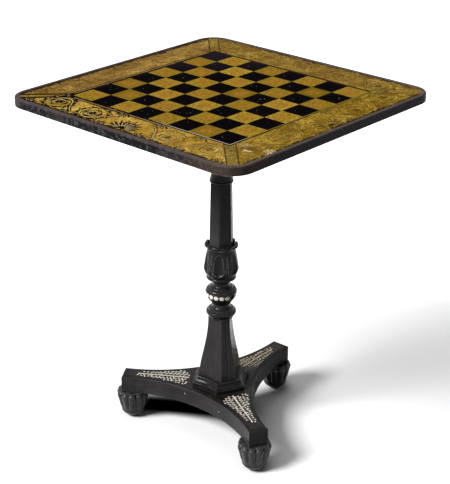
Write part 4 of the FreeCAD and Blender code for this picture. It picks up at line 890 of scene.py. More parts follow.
# ------------------------------------------------------------------ flat ornament
@dataclass
class Drawing:
    """Flat ornament in millimetres, made of strips and spots, cut at the end as one thin sheet."""

    points: list[Vector] = field(default_factory=list)
    faces: list[tuple[int, ...]] = field(default_factory=list)
    flip: float = 1.0  # -1 draws it the other way up

    def strip(self, line: Line, widths: Sequence[float]) -> None:
        """Lay a strip along a line.

        Args:
            line: points along its middle.
            widths: full width at each point.
        """
        first = len(self.points)
        left = beside(line, [width / 2 for width in widths])
        right = beside(line, [-width / 2 for width in widths])
        for pair in zip(left, right):
            self.mark(*pair)
        for index in range(len(line) - 1):
            a = first + 2 * index
            self.face(a, a + 1, a + 3, a + 2)

    def spot(self, centre: Vector, radius: float, sides: int = 9) -> None:
        """Lay a round spot.

        Args:
            centre: its middle.
            radius: its radius.
            sides: corners of its outline.
        """
        first = len(self.points)
        self.mark(*(centre + heading(360.0 * index / sides, radius) for index in range(sides)))
        self.face(*range(first, first + sides))

    def mark(self, *places: Vector) -> None:
        """Add points."""
        self.points += [Vector((place.x, place.y * self.flip)) for place in places]

    def face(self, *corners: int) -> None:
        """Add a face, with its upper side up."""
        self.faces.append(corners if self.flip > 0 else corners[::-1])

    def add(self, other: "Drawing") -> None:
        """Add another drawing to this one.

        Args:
            other: the other drawing.
        """
        first = len(self.points)
        self.points += other.points
        self.faces += [tuple(corner + first for corner in face) for face in other.faces]

    def leaf(self, foot: Vector, angle: float, length: float, width: float, bend: float = 0.0) -> None:
        """Lay a leaf that is full a third of the way up, and turns on its way by its bend in degrees."""
        line = curl(foot, angle, length, bend, 7)
        self.strip(line, [max(width * leaf_width(i / 6), 0.12) for i in range(7)])

    def outlined_leaf(
        self, foot: Vector, angle: float, length: float, width: float, bend: float, pen: float
    ) -> None:
        """Draw a leaf as two edges and a vein.

        Args:
            foot: where it starts.
            angle: way that it sets off, in degrees.
            length: from foot to tip.
            width: at its fullest.
            bend: how far it turns on its way, in degrees.
            pen: width of the drawn line.
        """
        steps = 9
        spine = curl(foot, angle, length, bend, steps)
        shares = [i / (steps - 1) for i in range(steps)]
        for side in (-1.0, 1.0):
            edge = beside(spine, [side * width / 2 * leaf_width(share) for share in shares])
            self.strip(edge, [pen * (0.6 + 0.8 * math.sin(math.pi * share)) for share in shares])
        vein = spine[1:-2]
        self.strip(vein, [pen * 0.7] * len(vein))

    def cut(self, name: str, place: Callable[[Vector], Vector]) -> bpy.types.Object:
        """Cut the drawing as a thin sheet.

        Args:
            name: name of the piece.
            place: gives the place on the table, in metres, of a point of the drawing.

        Returns:
            The new piece.
        """
        mesh = bpy.data.meshes.new(name)
        mesh.from_pydata([place(point) for point in self.points], [], self.faces)
        mesh.update()
        piece = put(name, mesh)
        solid = piece.modifiers.new("thickness", "SOLIDIFY")
        solid.thickness = INLAY_SHEET * MM
        solid.offset = -1.0
        return piece


def beside(line: Line, reach: Sequence[float]) -> Line:
    """Line that runs beside another.

    Args:
        line: the other line.
        reach: how far to its left the new one runs at each point.

    Returns:
        The points.
    """
    points = []
    for index, point in enumerate(line):
        run = (line[min(index + 1, len(line) - 1)] - line[max(index - 1, 0)]).normalized()
        points.append(point + Vector((-run.y, run.x)) * reach[index])
    return points


def leaf_width(share: float) -> float:
    """Width of a leaf at a share of its length, 1 at its fullest."""
    return math.sin(math.pi * share ** 0.75) ** 0.9 if 0.0 < share < 1.0 else 0.0


def curl(start: Vector, angle: float, length: float, bend: float, count: int) -> Line:
    """Line that turns evenly on its way.

    Args:
        start: its first point.
        angle: way that it sets off, in degrees.
        length: its length.
        bend: how far it turns in all, in degrees.
        count: number of points.

    Returns:
        The points.
    """
    line = [start.copy()]
    for index in range(count - 1):
        way = angle + bend * (index + 0.5) / (count - 1)
        line.append(line[-1] + heading(way, length / (count - 1)))
    return line


def scroll(
    centre: Vector, radius: float, start: float, turns: float, hand: float, close: float, count: int
) -> Line:
    """Spiral that winds in.

    Args:
        centre: its middle.
        radius: at its outside.
        start: angle of its outer end, in degrees.
        turns: number of turns.
        hand: 1 for anticlockwise, -1 for clockwise.
        close: share of the radius left at its inner end.
        count: number of points.

    Returns:
        The points, outer end first.
    """
    line = []
    for index in range(count):
        share = index / (count - 1)
        reach = radius * (1.0 - (1.0 - close) * share ** 0.85)
        line.append(centre + heading(start + hand * 360.0 * turns * share, reach))
    return line


def taper(first: float, last: float, count: int) -> list[float]:
    """Widths that change evenly from one end of a strip to the other."""
    return [first + (last - first) * index / (count - 1) for index in range(count)]


# ------------------------------------------------------------------ assemblies
@dataclass
class Assembly:
    """Part of the table: what it dresses and what it adds."""

    pieces: list[bpy.types.Object] = field(default_factory=list)

    def keep(self, piece: bpy.types.Object, body: Body, slot: str, finish: Finish) -> None:
        """Finish a new piece and fix it to a body.

        Args:
            piece: the piece.
            body: body that it rides on.
            slot: material slot of the record; not used.
            finish: its finish.
        """
        piece.data.materials.append(material_of(finish))
        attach(piece, body.value)
        self.pieces.append(piece)

    def dress(self, nodes: Nodes, finish: Finish, *names: str) -> None:
        """Give nodes of the frame a finish.

        Args:
            nodes: the frame's nodes.
            finish: the finish.
            names: names of the nodes that take it.
        """
        material = material_of(finish)
        for name in names:
            mesh = nodes[name].data
            if not mesh.materials:
                mesh.materials.append(material)
            for index in range(len(mesh.materials)):
                mesh.materials[index] = material
            self.pieces.append(nodes[name])

    def report(self) -> None:
        """Log every piece."""
        for piece in self.pieces:
            LOG.info("%s: %s", type(self).__name__, piece.name)


@dataclass(frozen=True)
class PanelLook:
    """How one border panel has aged."""

    strength: float  # how much black is left in its ornament, from 0 to 1
    ground: GoldGround
    ink: InkLine
    light: InkLine


@dataclass
class Border(Assembly):
    """Border panels and their scroll ornament: dark outlines and ground, and fine light lines."""

    spacing: float = 96.0
    scroll_radius: float = 26.0
    stem_width: float = 5.4
    pen: float = 0.75
    bold: float = 1.5  # what full strength adds to the pen
    light_proud: float = 1.6 * INLAY_PROUD  # the light lines lie over the dark ones
    width: float = FIELD_HALF - BOARD_LINES_HALF

    def looks(self) -> dict[Side, PanelLook]:
        """Say how each panel has aged: the front one least, the others almost bare.

        Returns:
            The look of each side's panel.
        """
        far = NEAR_CORNER * MM
        front = PanelLook(
            strength=1.0,
            ground=GoldGround(
                "border_gold_front",
                light=paint(0.88, 0.72, 0.34),
                deep=paint(0.62, 0.48, 0.16),
                edge_dark_width=0.012,
                inked=1.0,
                ink_reach=0.36,
            ),
            ink=InkLine("scroll_ink_front", fresh_end=(-far, -far), fade_from=0.16, fade_to=0.5, patch=0.35),
            light=InkLine(
                "scroll_light_front",
                ink=paint(0.86, 0.78, 0.56),
                worn=paint(0.72, 0.6, 0.3),
                fresh_end=(-0.1, -far),
                fade_from=0.2,
                fade_to=0.4,
            ),
        )
        right = PanelLook(
            strength=0.12,
            ground=GoldGround(
                "border_gold_right",
                light=paint(0.66, 0.53, 0.17),
                deep=paint(0.44, 0.34, 0.08),
                edge_dark_width=0.007,
                bare_patches=((0.221, -0.184, 0.008), (0.275, -0.181, 0.011), (0.243, -0.205, 0.006)),
            ),
            ink=InkLine(
                "scroll_ink_right",
                ink=paint(0.24, 0.18, 0.06),
                fresh_end=(far, far),
                fade_from=0.0,
                fade_to=0.4,
            ),
            light=InkLine(
                "scroll_light_right",
                ink=paint(0.66, 0.56, 0.26),
                worn=paint(0.58, 0.46, 0.16),
                fresh_end=(far, -far),
                fade_from=0.0,
                fade_to=0.4,
            ),
        )
        left = PanelLook(
            strength=0.1,
            ground=GoldGround(
                "border_gold_left",
                light=paint(0.78, 0.63, 0.34),
                deep=paint(0.37, 0.27, 0.12),
                edge_dark_width=0.01,
                inked=0.85,
                ink_reach=0.55,
            ),
            ink=InkLine(
                "scroll_ink_left",
                ink=paint(0.3, 0.2, 0.1),
                worn=paint(0.58, 0.45, 0.22),
                fresh_end=(-far, -far),
                fade_from=-0.1,
                fade_to=0.2,
            ),
            light=InkLine(
                "scroll_light_left",
                ink=paint(0.66, 0.53, 0.3),
                worn=paint(0.64, 0.5, 0.26),
                fade_from=0.0,
                fade_to=0.4,
            ),
        )
        back = PanelLook(
            strength=0.12,
            ground=GoldGround(
                "border_gold_back", light=paint(0.63, 0.51, 0.24), deep=paint(0.45, 0.35, 0.14)
            ),
            ink=InkLine(
                "scroll_ink_back",
                ink=paint(0.26, 0.19, 0.09),
                worn=paint(0.48, 0.38, 0.17),
                fresh_end=(far, far),
                fade_from=-0.1,
                fade_to=0.3,
            ),
            light=InkLine(
                "scroll_light_back",
                ink=paint(0.6, 0.48, 0.25),
                worn=paint(0.58, 0.46, 0.2),
                fade_from=0.0,
                fade_to=0.4,
            ),
        )
        return {Side.RIGHT: right, Side.BACK: back, Side.LEFT: left, Side.FRONT: front}

    def build(self, nodes: Nodes) -> None:
        """Finish the border and draw its ornament.

        Args:
            nodes: the frame's nodes.
        """
        for side, look in self.looks().items():
            self.dress(nodes, look.ground, side.named("border"))
            dark, light = self.draw(side, look.strength)
            self.keep(dark, Body.TOP, "border_inlay", look.ink)
            self.keep(light, Body.TOP, "border_inlay", look.light)
        band = GoldGround(
            "mitre_band_gold",
            light=paint(0.6, 0.5, 0.24),
            deep=paint(0.44, 0.37, 0.16),
            cool=paint(0.46, 0.43, 0.26),
            edge_dark_width=0.002,
            inked=1.0,
            ink_reach=0.16,
        )
        self.dress(nodes, band, "mitre_bands")

    def draw(self, side: Side, strength: float) -> tuple[bpy.types.Object, bpy.types.Object]:
        """Draw one panel's ornament.

        Args:
            side: side of the top.
            strength: how much black is left, from 0 to 1.

        Returns:
            The dark drawing and the light one.
        """
        dark, light = Drawing(), Drawing()
        chance = random.Random(int(side.value) + 7)
        self.palmette(dark, light, strength)
        for number in (-2, -1, 1, 2):
            self.unit(dark, light, number, strength, chance)
        self.edge_leaves(dark, light, strength)

        def place(point: Vector, proud: float) -> Vector:
            """Place on the top of a point of the drawing, which runs along the front side."""
            flat = turned(side.value + 90.0) @ Vector((point.x, -BOARD_LINES_HALF - point.y))
            return Vector((*flat, BOARD_TOP + proud)) * MM

        return (
            dark.cut(side.named("border_scroll"), lambda point: place(point, INLAY_PROUD)),
            light.cut(side.named("border_light"), lambda point: place(point, self.light_proud)),
        )

    def pen_at(self, along: float, strength: float) -> float:
        """Width of the pen, boldest at the left end of a strong panel."""
        fresh = min(max((170.0 - along) / 340.0, 0.15), 1.0)
        return self.pen + self.bold * strength * fresh

    def stem(
        self, dark: Drawing, light: Drawing, line: Line, first: float, last: float, strength: float
    ) -> None:
        """Draw both edges of a stem, and a light line inside one of them.

        Args:
            dark: the dark drawing.
            light: the light drawing.
            line: the stem's middle.
            first: its width where it starts.
            last: its width at its end.
            strength: how much black is left.
        """
        widths = taper(first, last, len(line))
        pens = [self.pen_at(p.x, strength) * (0.8 + 0.4 * math.sin(i * 0.7)) for i, p in enumerate(line)]
        for share in (-0.5, 0.5):
            dark.strip(beside(line, [share * width for width in widths]), pens)
        hairs = [0.55 + 0.45 * math.sin(i * 0.5) ** 2 for i in range(len(line))]
        light.strip(beside(line, [0.18 * width for width in widths]), hairs)

    def crescent(
        self, drawing: Drawing, centre: Vector, radius: float, start: float, sweep: float, width: float
    ) -> None:
        """Lay a crescent of ground round a centre.

        Args:
            drawing: where it goes.
            centre: what it curves round.
            radius: of its middle line.
            start: angle of one end, in degrees.
            sweep: how far it goes round.
            width: at its fullest.
        """
        count = 9
        line = [centre + heading(start + sweep * i / (count - 1), radius) for i in range(count)]
        inside = [Vector((point.x, min(max(point.y, 1.5), self.width - 1.5))) for point in line]
        drawing.strip(inside, [max(width * math.sin(math.pi * i / (count - 1)), 0.15) for i in range(count)])

    def unit(
        self, dark: Drawing, light: Drawing, number: int, strength: float, chance: random.Random
    ) -> None:
        """Draw one scroll with its leaves, its rosette and the ground round it.

        Args:
            dark: the dark drawing.
            light: the light drawing.
            number: which scroll, counted from the palmette in the middle.
            strength: how much black is left.
            chance: source of small differences.
        """
        way = 1.0 if number > 0 else -1.0
        tilt = 1.0 if number % 2 else -1.0
        centre = Vector((number * self.spacing, self.width / 2 + tilt * 2.0))
        hand = -tilt * way
        start = 90.0 * tilt + way * tilt * 62.0
        radius = self.scroll_radius
        pen = self.pen_at(centre.x, strength)
        black = strength * min(max((150.0 - centre.x) / 260.0, 0.12), 1.0)
        winding = scroll(centre, radius, start, 1.45, hand, 0.27, 42)
        self.stem(dark, light, winding, self.stem_width, 2.6, strength)
        between = (abs(number) - 0.5) * self.spacing - 10.0
        lead_from = Vector((way * between, self.width / 2 - tilt * 24.0))
        lead = []
        for share in (0.0, 0.2, 0.4, 0.6, 0.8, 1.0):
            sag = Vector((0.0, -tilt * 5.0 * math.sin(math.pi * share)))
            lead.append(lead_from.lerp(winding[0], share) + sag)
        self.stem(dark, light, lead, self.stem_width * 0.7, self.stem_width, strength)
        for index in range(10):
            angle = start + hand * 36.0 * index
            foot = centre + heading(angle, radius + 1.0)
            out = angle + hand * (48.0 + 14.0 * chance.random())
            length = 17.0 - 3.0 * chance.random()
            tip = foot + heading(out - hand * 15.0, length)
            if not 2.0 < tip.y < self.width - 2.0:
                length *= 0.55
            dark.outlined_leaf(foot, out, length, length * 0.42, -hand * 34.0, pen * 0.8)
            light.leaf(foot + heading(out, 2.0), out, length * 0.6, 0.9, -hand * 20.0)
            self.crescent(dark, centre, radius + 5.5, angle + hand * 12.0, hand * 24.0, 0.6 + 6.4 * black)
        for index in range(4):
            angle = start + hand * (25.0 + 88.0 * index)
            self.crescent(dark, centre, radius * 0.66, angle, hand * 72.0, 0.5 + 6.2 * black)
        self.rosette(dark, light, centre, radius * 0.3, pen)

    def rosette(self, dark: Drawing, light: Drawing, centre: Vector, size: float, pen: float) -> None:
        """Draw a small flower.

        Args:
            dark: the dark drawing.
            light: the light drawing.
            centre: its middle.
            size: length of its petals.
            pen: width of the drawn line.
        """
        for petal in range(6):
            angle = 60.0 * petal + 12.0
            dark.outlined_leaf(centre + heading(angle, 1.6), angle, size, size * 0.5, 25.0, pen * 0.7)
        dark.spot(centre, 1.7)
        light.spot(centre + Vector((0.6, 0.5)), 0.7)

    def palmette(self, dark: Drawing, light: Drawing, strength: float) -> None:
        """Draw the fan of leaves that the scrolls spring from.

        Args:
            dark: the dark drawing.
            light: the light drawing.
            strength: how much black is left.
        """
        foot = Vector((0.0, self.width - 14.0))
        pen = self.pen_at(0.0, strength)
        for index in range(-5, 6):
            angle = -90.0 + index * 17.0
            length = 46.0 - 3.4 * abs(index)
            dark.outlined_leaf(foot, angle, length, 8.0, index * 7.0, pen)
            light.leaf(foot + heading(angle, 8.0), angle, length * 0.6, 1.4, index * 5.0)
            if index < 5:
                between = foot + heading(angle + 8.5, 17.0)
                dark.leaf(between, angle + 8.5, 20.0, 4.2 * strength + 0.6, 4.0)
        for way in (-1.0, 1.0):
            curls = scroll(foot + Vector((way * 15.0, 3.0)), 9.0, 90.0 + way * 90.0, 1.4, -way, 0.2, 22)
            dark.strip(curls, taper(1.2 + pen, 0.8, 22))
            self.crescent(dark, foot + Vector((way * 15.0, 3.0)), 12.0, -20.0, -140.0, 3.4 * strength + 0.4)

    def edge_leaves(self, dark: Drawing, light: Drawing, strength: float) -> None:
        """Fill the gaps along both edges of the panel with leaves.

        Args:
            dark: the dark drawing.
            light: the light drawing.
            strength: how much black is left.
        """
        for number in (-2.5, -1.5, -0.5, 0.5, 1.5, 2.5):
            for low in (True, False):
                x = number * self.spacing
                room = self.width + x if low else self.width
                foot = Vector((x, 3.5 if low else self.width - 3.5))
                if abs(x) > BOARD_LINES_HALF + foot.y - 16.0 or room < 0.0:
                    continue
                up = 90.0 if low else -90.0
                pen = self.pen_at(x, strength)
                for fan in (-2, -1, 0, 1, 2):
                    length = 20.0 - 2.4 * abs(fan)
                    dark.outlined_leaf(foot, up + fan * 33.0, length, 5.6, fan * 14.0, pen * 0.85)
                    light.leaf(foot + heading(up + fan * 33.0, 4.0), up + fan * 33.0, length * 0.5, 0.9)
                for way in (-1.0, 1.0):
                    side_foot = foot + Vector((way * 6.0, 0.0))
                    dark.leaf(side_foot, up - way * 62.0, 17.0, 4.4 * strength + 0.4, way * 20.0)


@dataclass
class Top(Assembly):
    """The inlaid board, the edging and the bearers under the top."""

    mitre_strings: tuple[float, ...] = (-6.6, -4.2, -1.4, 1.4, 4.2, 6.6)
    string_width: float = 0.5
    string_points: int = 13

    def build(self, nodes: Nodes) -> None:
        """Finish the top and lay the fine lines on its mitre bands.

        Args:
            nodes: the frame's nodes.
        """
        self.dress_squares(nodes)
        self.dress_lines(nodes)
        self.dress_edging(nodes)
        self.dress_underside(nodes)
        strings = InkLine(
            "mitre_string_ink",
            ink=paint(0.33, 0.27, 0.11),
            worn=paint(0.62, 0.53, 0.27),
            fade_from=0.1,
            fade_to=0.6,
        )
        self.keep(self.mitre_stringing(), Body.TOP, "line_inlay", strings)

    def mitre_stringing(self) -> bpy.types.Object:
        """Lay the fine lines along the four mitre bands.

        Returns:
            The new piece.
        """
        drawing = Drawing()
        start = BOARD_LINES_HALF * math.sqrt(2.0)
        corner = (FIELD_HALF - FIELD_CORNER) * math.sqrt(2.0)
        for offset in self.mitre_strings:
            first = start + abs(offset) + 1.0
            last = corner + math.sqrt(FIELD_CORNER ** 2 - offset ** 2) - 1.0
            places = taper(first, last, self.string_points)
            for quarter in range(4):
                turn = turned(45.0 + 90.0 * quarter)
                drawing.strip([turn @ Vector((x, offset)) for x in places], [self.string_width] * len(places))
        height = BOARD_TOP + INLAY_PROUD
        return drawing.cut("mitre_strings", lambda point: Vector((*point, height)) * MM)

    def dress_squares(self, nodes: Nodes) -> None:
        """Finish the squares.

        Args:
            nodes: the frame's nodes.
        """
        dark = BoardSquare(
            "dark_square_lacquer",
            main=paint(0.025, 0.022, 0.032),
            other=paint(0.05, 0.045, 0.06),
            blotch=paint(0.035, 0.035, 0.05),
            heart=paint(0.02, 0.02, 0.03),
            pitted=0.8,
            gloss=0.22,
            painted_sheen=paint(0.15, 0.12, 0.15),
        )
        self.dress(nodes, BoardSquare("light_square_wood"), "light_squares")
        self.dress(nodes, dark, "dark_squares")

    def dress_lines(self, nodes: Nodes) -> None:
        """Finish the lines round the squares and down the mitres.

        Args:
            nodes: the frame's nodes.
        """
        light_line = InkLine(
            "light_line_bone",
            ink=paint(0.66, 0.64, 0.6),
            worn=paint(0.52, 0.42, 0.17),
            fresh_end=(0.13, -0.26),
            fade_from=0.08,
            fade_to=0.15,
            patch=0.1,
            worn_sides=(
                paint(0.07, 0.05, 0.045),
                paint(0.5, 0.44, 0.19),
                paint(0.2, 0.16, 0.11),
                paint(0.17, 0.12, 0.09),
            ),
        )
        dark_line = InkLine(
            "dark_line_ink",
            ink=paint(0.06, 0.045, 0.045),
            worn=paint(0.5, 0.39, 0.13),
            fresh_end=(-0.1, -0.2),
            fade_from=0.25,
            fade_to=0.5,
            patch=0.25,
            worn_sides=(
                paint(0.22, 0.16, 0.07),
                paint(0.42, 0.34, 0.11),
                paint(0.16, 0.12, 0.09),
                paint(0.1, 0.07, 0.06),
            ),
            chipped=0.5,
        )
        mitre_line = InkLine(
            "mitre_line_ink",
            ink=paint(0.07, 0.05, 0.05),
            worn=paint(0.38, 0.32, 0.16),
            fresh_end=(-NEAR_CORNER * MM, -NEAR_CORNER * MM),
            fade_from=0.25,
            fade_to=0.6,
            patch=0.2,
        )
        self.dress(nodes, light_line, "light_line")
        self.dress(nodes, dark_line, "dark_line")
        self.dress(nodes, mitre_line, "mitre_lines")

    def dress_edging(self, nodes: Nodes) -> None:
        """Finish the edging, with the grain along each side.

        Args:
            nodes: the frame's nodes.
        """
        for side in Side:
            grain = Grain.ALONG_X if side in (Side.FRONT, Side.BACK) else Grain.ALONG_Y
            self.dress(nodes, EdgingWood(side.named("edging_wood"), grain=grain), side.named("edging"))

    def dress_underside(self, nodes: Nodes) -> None:
        """Finish the ground board and the bearers.

        Args:
            nodes: the frame's nodes.
        """
        bearer = PlainWood(
            "bearer_wood", pale=paint(0.24, 0.18, 0.14), dark=paint(0.12, 0.09, 0.07), grain=Grain.ALONG_Y
        )
        iron = Metal("screw_iron", bright=paint(0.42, 0.4, 0.38), tarnish=paint(0.2, 0.14, 0.1), gloss=0.45)
        self.dress(nodes, PlainWood("ground_wood"), "top_board")
        self.dress(nodes, bearer, "bearer_left", "bearer_right")
        self.dress(nodes, iron, "bearer_screws")


@dataclass
class Catch(Assembly):
    """Brass catch that locks the top level."""

    def build(self, nodes: Nodes) -> None:
        """Finish the catch.

        Args:
            nodes: the frame's nodes.
        """
        screws = Metal(
            "catch_screw_brass", bright=paint(0.76, 0.6, 0.34), tarnish=paint(0.33, 0.24, 0.14), gloss=0.38
        )
        self.dress(nodes, Metal("catch_brass"), "catch_case", "catch_bolt", "catch_knob", "strike_plate")
        self.dress(nodes, screws, "catch_screws", "strike_screws")


@dataclass
class Pillar(Assembly):
    """Block, capital, shafts, carved collar, knop and mouldings."""

    def build(self, nodes: Nodes) -> None:
        """Finish the pillar.

        Args:
            nodes: the frame's nodes.
        """
        self.dress_blacks(nodes)
        block = PlainWood("block_wood", pale=paint(0.22, 0.17, 0.13), dark=paint(0.11, 0.08, 0.07))
        wedge = PlainWood(
            "wedge_wood", pale=paint(0.52, 0.4, 0.26), dark=paint(0.36, 0.26, 0.17), grain=Grain.ALONG_Z
        )
        iron = Metal(
            "pillar_iron", bright=paint(0.42, 0.4, 0.38), tarnish=paint(0.22, 0.15, 0.11), gloss=0.42
        )
        stud = Bone("stud_bone", main=paint(0.99, 0.97, 0.93), other=paint(0.95, 0.92, 0.85), soiled=0.06)
        self.dress(nodes, block, "tilt_block")
        self.dress(nodes, wedge, "tenon_wedges")
        self.dress(nodes, iron, "pivot_pins", "tie_bolt", "tie_washer")
        self.dress(nodes, stud, "bone_studs")

    def dress_blacks(self, nodes: Nodes) -> None:
        """Finish the black woods, the plain shafts greyer than the turned and carved pieces.

        Args:
            nodes: the frame's nodes.
        """
        # The pale arrises of these black woods are wear and, on the flare, turned, carved and moulded pieces,
        # painted highlights.
        shaft = BlackWood(
            "shaft_black",
            stain=paint(0.235, 0.228, 0.232),
            faded=paint(0.3, 0.292, 0.3),
            rub_and_highlight=0.6,
            dust=0.05,
            specular=0.04,
        )
        flare = BlackWood(
            "flare_black",
            stain=paint(0.16, 0.152, 0.158),
            faded=paint(0.215, 0.206, 0.215),
            rub_and_highlight=1.2,
            dust=0.03,
            gloss=0.16,
            specular=0.08,
        )
        turned_wood = BlackWood(
            "turned_black",
            stain=paint(0.11, 0.105, 0.108),
            faded=paint(0.17, 0.163, 0.165),
            rub_and_highlight=1.2,
            dust=0.04,
            gloss=0.12,
            specular=0.12,
        )
        carved = BlackWood(
            "carved_black",
            stain=paint(0.1, 0.095, 0.098),
            faded=paint(0.15, 0.143, 0.147),
            # near-white painted highlight along the petals' rims, over their wear
            rubbed_and_highlit=paint(0.76, 0.74, 0.72),
            rub_and_highlight=2.2,
            dust=0.03,
            gloss=0.11,
        )
        moulded = BlackWood(
            "plinth_black",
            stain=paint(0.09, 0.085, 0.09),
            faded=paint(0.14, 0.13, 0.14),
            grain=Grain.ALONG_X,
            rub_and_highlight=1.5,
            dust=0.02,
            gloss=0.14,
        )
        self.dress(nodes, shaft, "upper_shaft")
        self.dress(nodes, flare, "lower_shaft")
        self.dress(nodes, turned_wood, "capital", "neck_ring", "bone_knop", "base_ring")
        self.dress(nodes, carved, "tulip_collar")
        self.dress(nodes, moulded, "plinth_moulding", "plinth_slab")


@dataclass
class LegInlay:
    """White foliate scroll inlaid in the top of one leg."""

    leg: Leg
    stem_start: float = 68.5
    stem_end: float = 172.0
    stem_widths: tuple[float, float] = (3.0, 2.1)
    first_branch: float = 6.5  # where it would leave the stem, under the pillar
    branch_gap: float = 8.0
    branch_step: float = 1.2
    branch_reach: float = 90.0
    motif_gap: float = 4.7
    curl_radius: float = 2.2
    stroke: float = 1.95
    hair: float = 0.35
    stem_room: float = 3.2  # left clear of curls and leaves on each side of the stem

    def half_width(self, along: float) -> float:
        """Measure the panel.

        Args:
            along: distance from the pillar's axis.

        Returns:
            Half the panel's width there.
        """
        centre = hollow_centre()
        away = heading(60.0, centre)
        radius = centre - HOLLOW_REACH + PANEL_INSET
        return away.y - math.sqrt(radius ** 2 - (along - away.x) ** 2)

    def build(self) -> bpy.types.Object:
        """Cut the inlay of this leg.

        Returns:
            The new piece.
        """
        drawing = Drawing()
        chance = random.Random(int(self.leg.value))
        count = 24
        stem = [Vector((x, 0.0)) for x in taper(self.stem_start, self.stem_end, count)]
        drawing.strip(stem, taper(*self.stem_widths, count))
        drawing.leaf(Vector((self.stem_end - 1.0, 0.0)), 0.0, 9.0, 3.2)
        drawing.spot(Vector((self.stem_end + 6.0, 6.0)), 1.9)
        for flip in (1.0, -1.0):
            half = Drawing(flip=flip)
            along = self.first_branch
            while along < self.stem_end - 3.0:
                self.branch(half, along + 2.0 * flip, chance)
                along += self.branch_gap
            drawing.add(half)
        height = PLATFORM_TOP + INLAY_PROUD
        turn = turned(self.leg.value)
        return drawing.cut(self.leg.named("leg_scroll"), lambda point: Vector((*(turn @ point), height)) * MM)

    def branch(self, drawing: Drawing, along: float, chance: random.Random) -> None:
        """Draw one branch of the scroll, with curls and leaves by turns along it.

        Args:
            drawing: where it goes.
            along: where it leaves the stem.
            chance: source of small differences.
        """
        line = [Vector((along, 0.0))]
        travelled = 0.0
        while travelled < self.branch_reach:
            way = 60.0 + 12.0 * math.sin(travelled / 5.0) - line[-1].y * 0.3
            following = line[-1] + heading(way, self.branch_step)
            if self.inside(following, 1.4):
                line.append(following)
            elif following.x > PANEL_START + 1.0:
                break
            else:
                line = [following]
            travelled += self.branch_step
        if len(line) < 3:
            return
        drawing.strip(line, taper(self.hair, self.hair * 0.8, len(line)))
        step = round(self.motif_gap / self.branch_step)
        side = 1.0
        for index in range(2 + int(3.0 * chance.random()), len(line) - 1, step):
            run = line[index + 1] - line[index]
            side = -side
            heads = math.degrees(math.atan2(run.y, run.x)) + 24.0 * (chance.random() - 0.5)
            self.motif(drawing, line[index] + heading(heads + side * 90.0, 2.1), heads, side, chance.random())

    def motif(self, drawing: Drawing, place: Vector, heads: float, side: float, kind: float) -> None:
        """Draw one curl, leaf or berry.

        Args:
            drawing: where it goes.
            place: its middle.
            heads: way that its branch runs, in degrees.
            side: side of the branch that it is on, 1 or -1.
            kind: which of them, from 0 to 1.
        """
        if not self.inside(place, 0.2) or place.y < self.stem_room:
            return
        if kind < 0.55:
            winding = scroll(place, self.curl_radius, heads - side * 110.0, 0.6, side, 0.4, 11)
            drawing.strip(winding, taper(self.stroke, self.stroke * 0.75, 11))
            drawing.spot(winding[-1], self.stroke * 0.65, 7)
        elif kind < 0.88:
            angle = heads + side * 35.0
            drawing.leaf(place - heading(angle, 2.4), angle, 5.6, 2.7, side * 16.0)
        else:
            drawing.spot(place, 1.35, 8)

    def inside(self, place: Vector, margin: float) -> bool:
        """Say whether a place on one side of the stem is in the panel.

        Args:
            place: the place.
            margin: how far inside the panel's edge it has to be.

        Returns:
            True where it is.
        """
        if not PANEL_START + margin <= place.x <= self.stem_end + 8.0 - margin or place.y < 0.0:
            return False
        return place.y + margin < self.half_width(place.x)


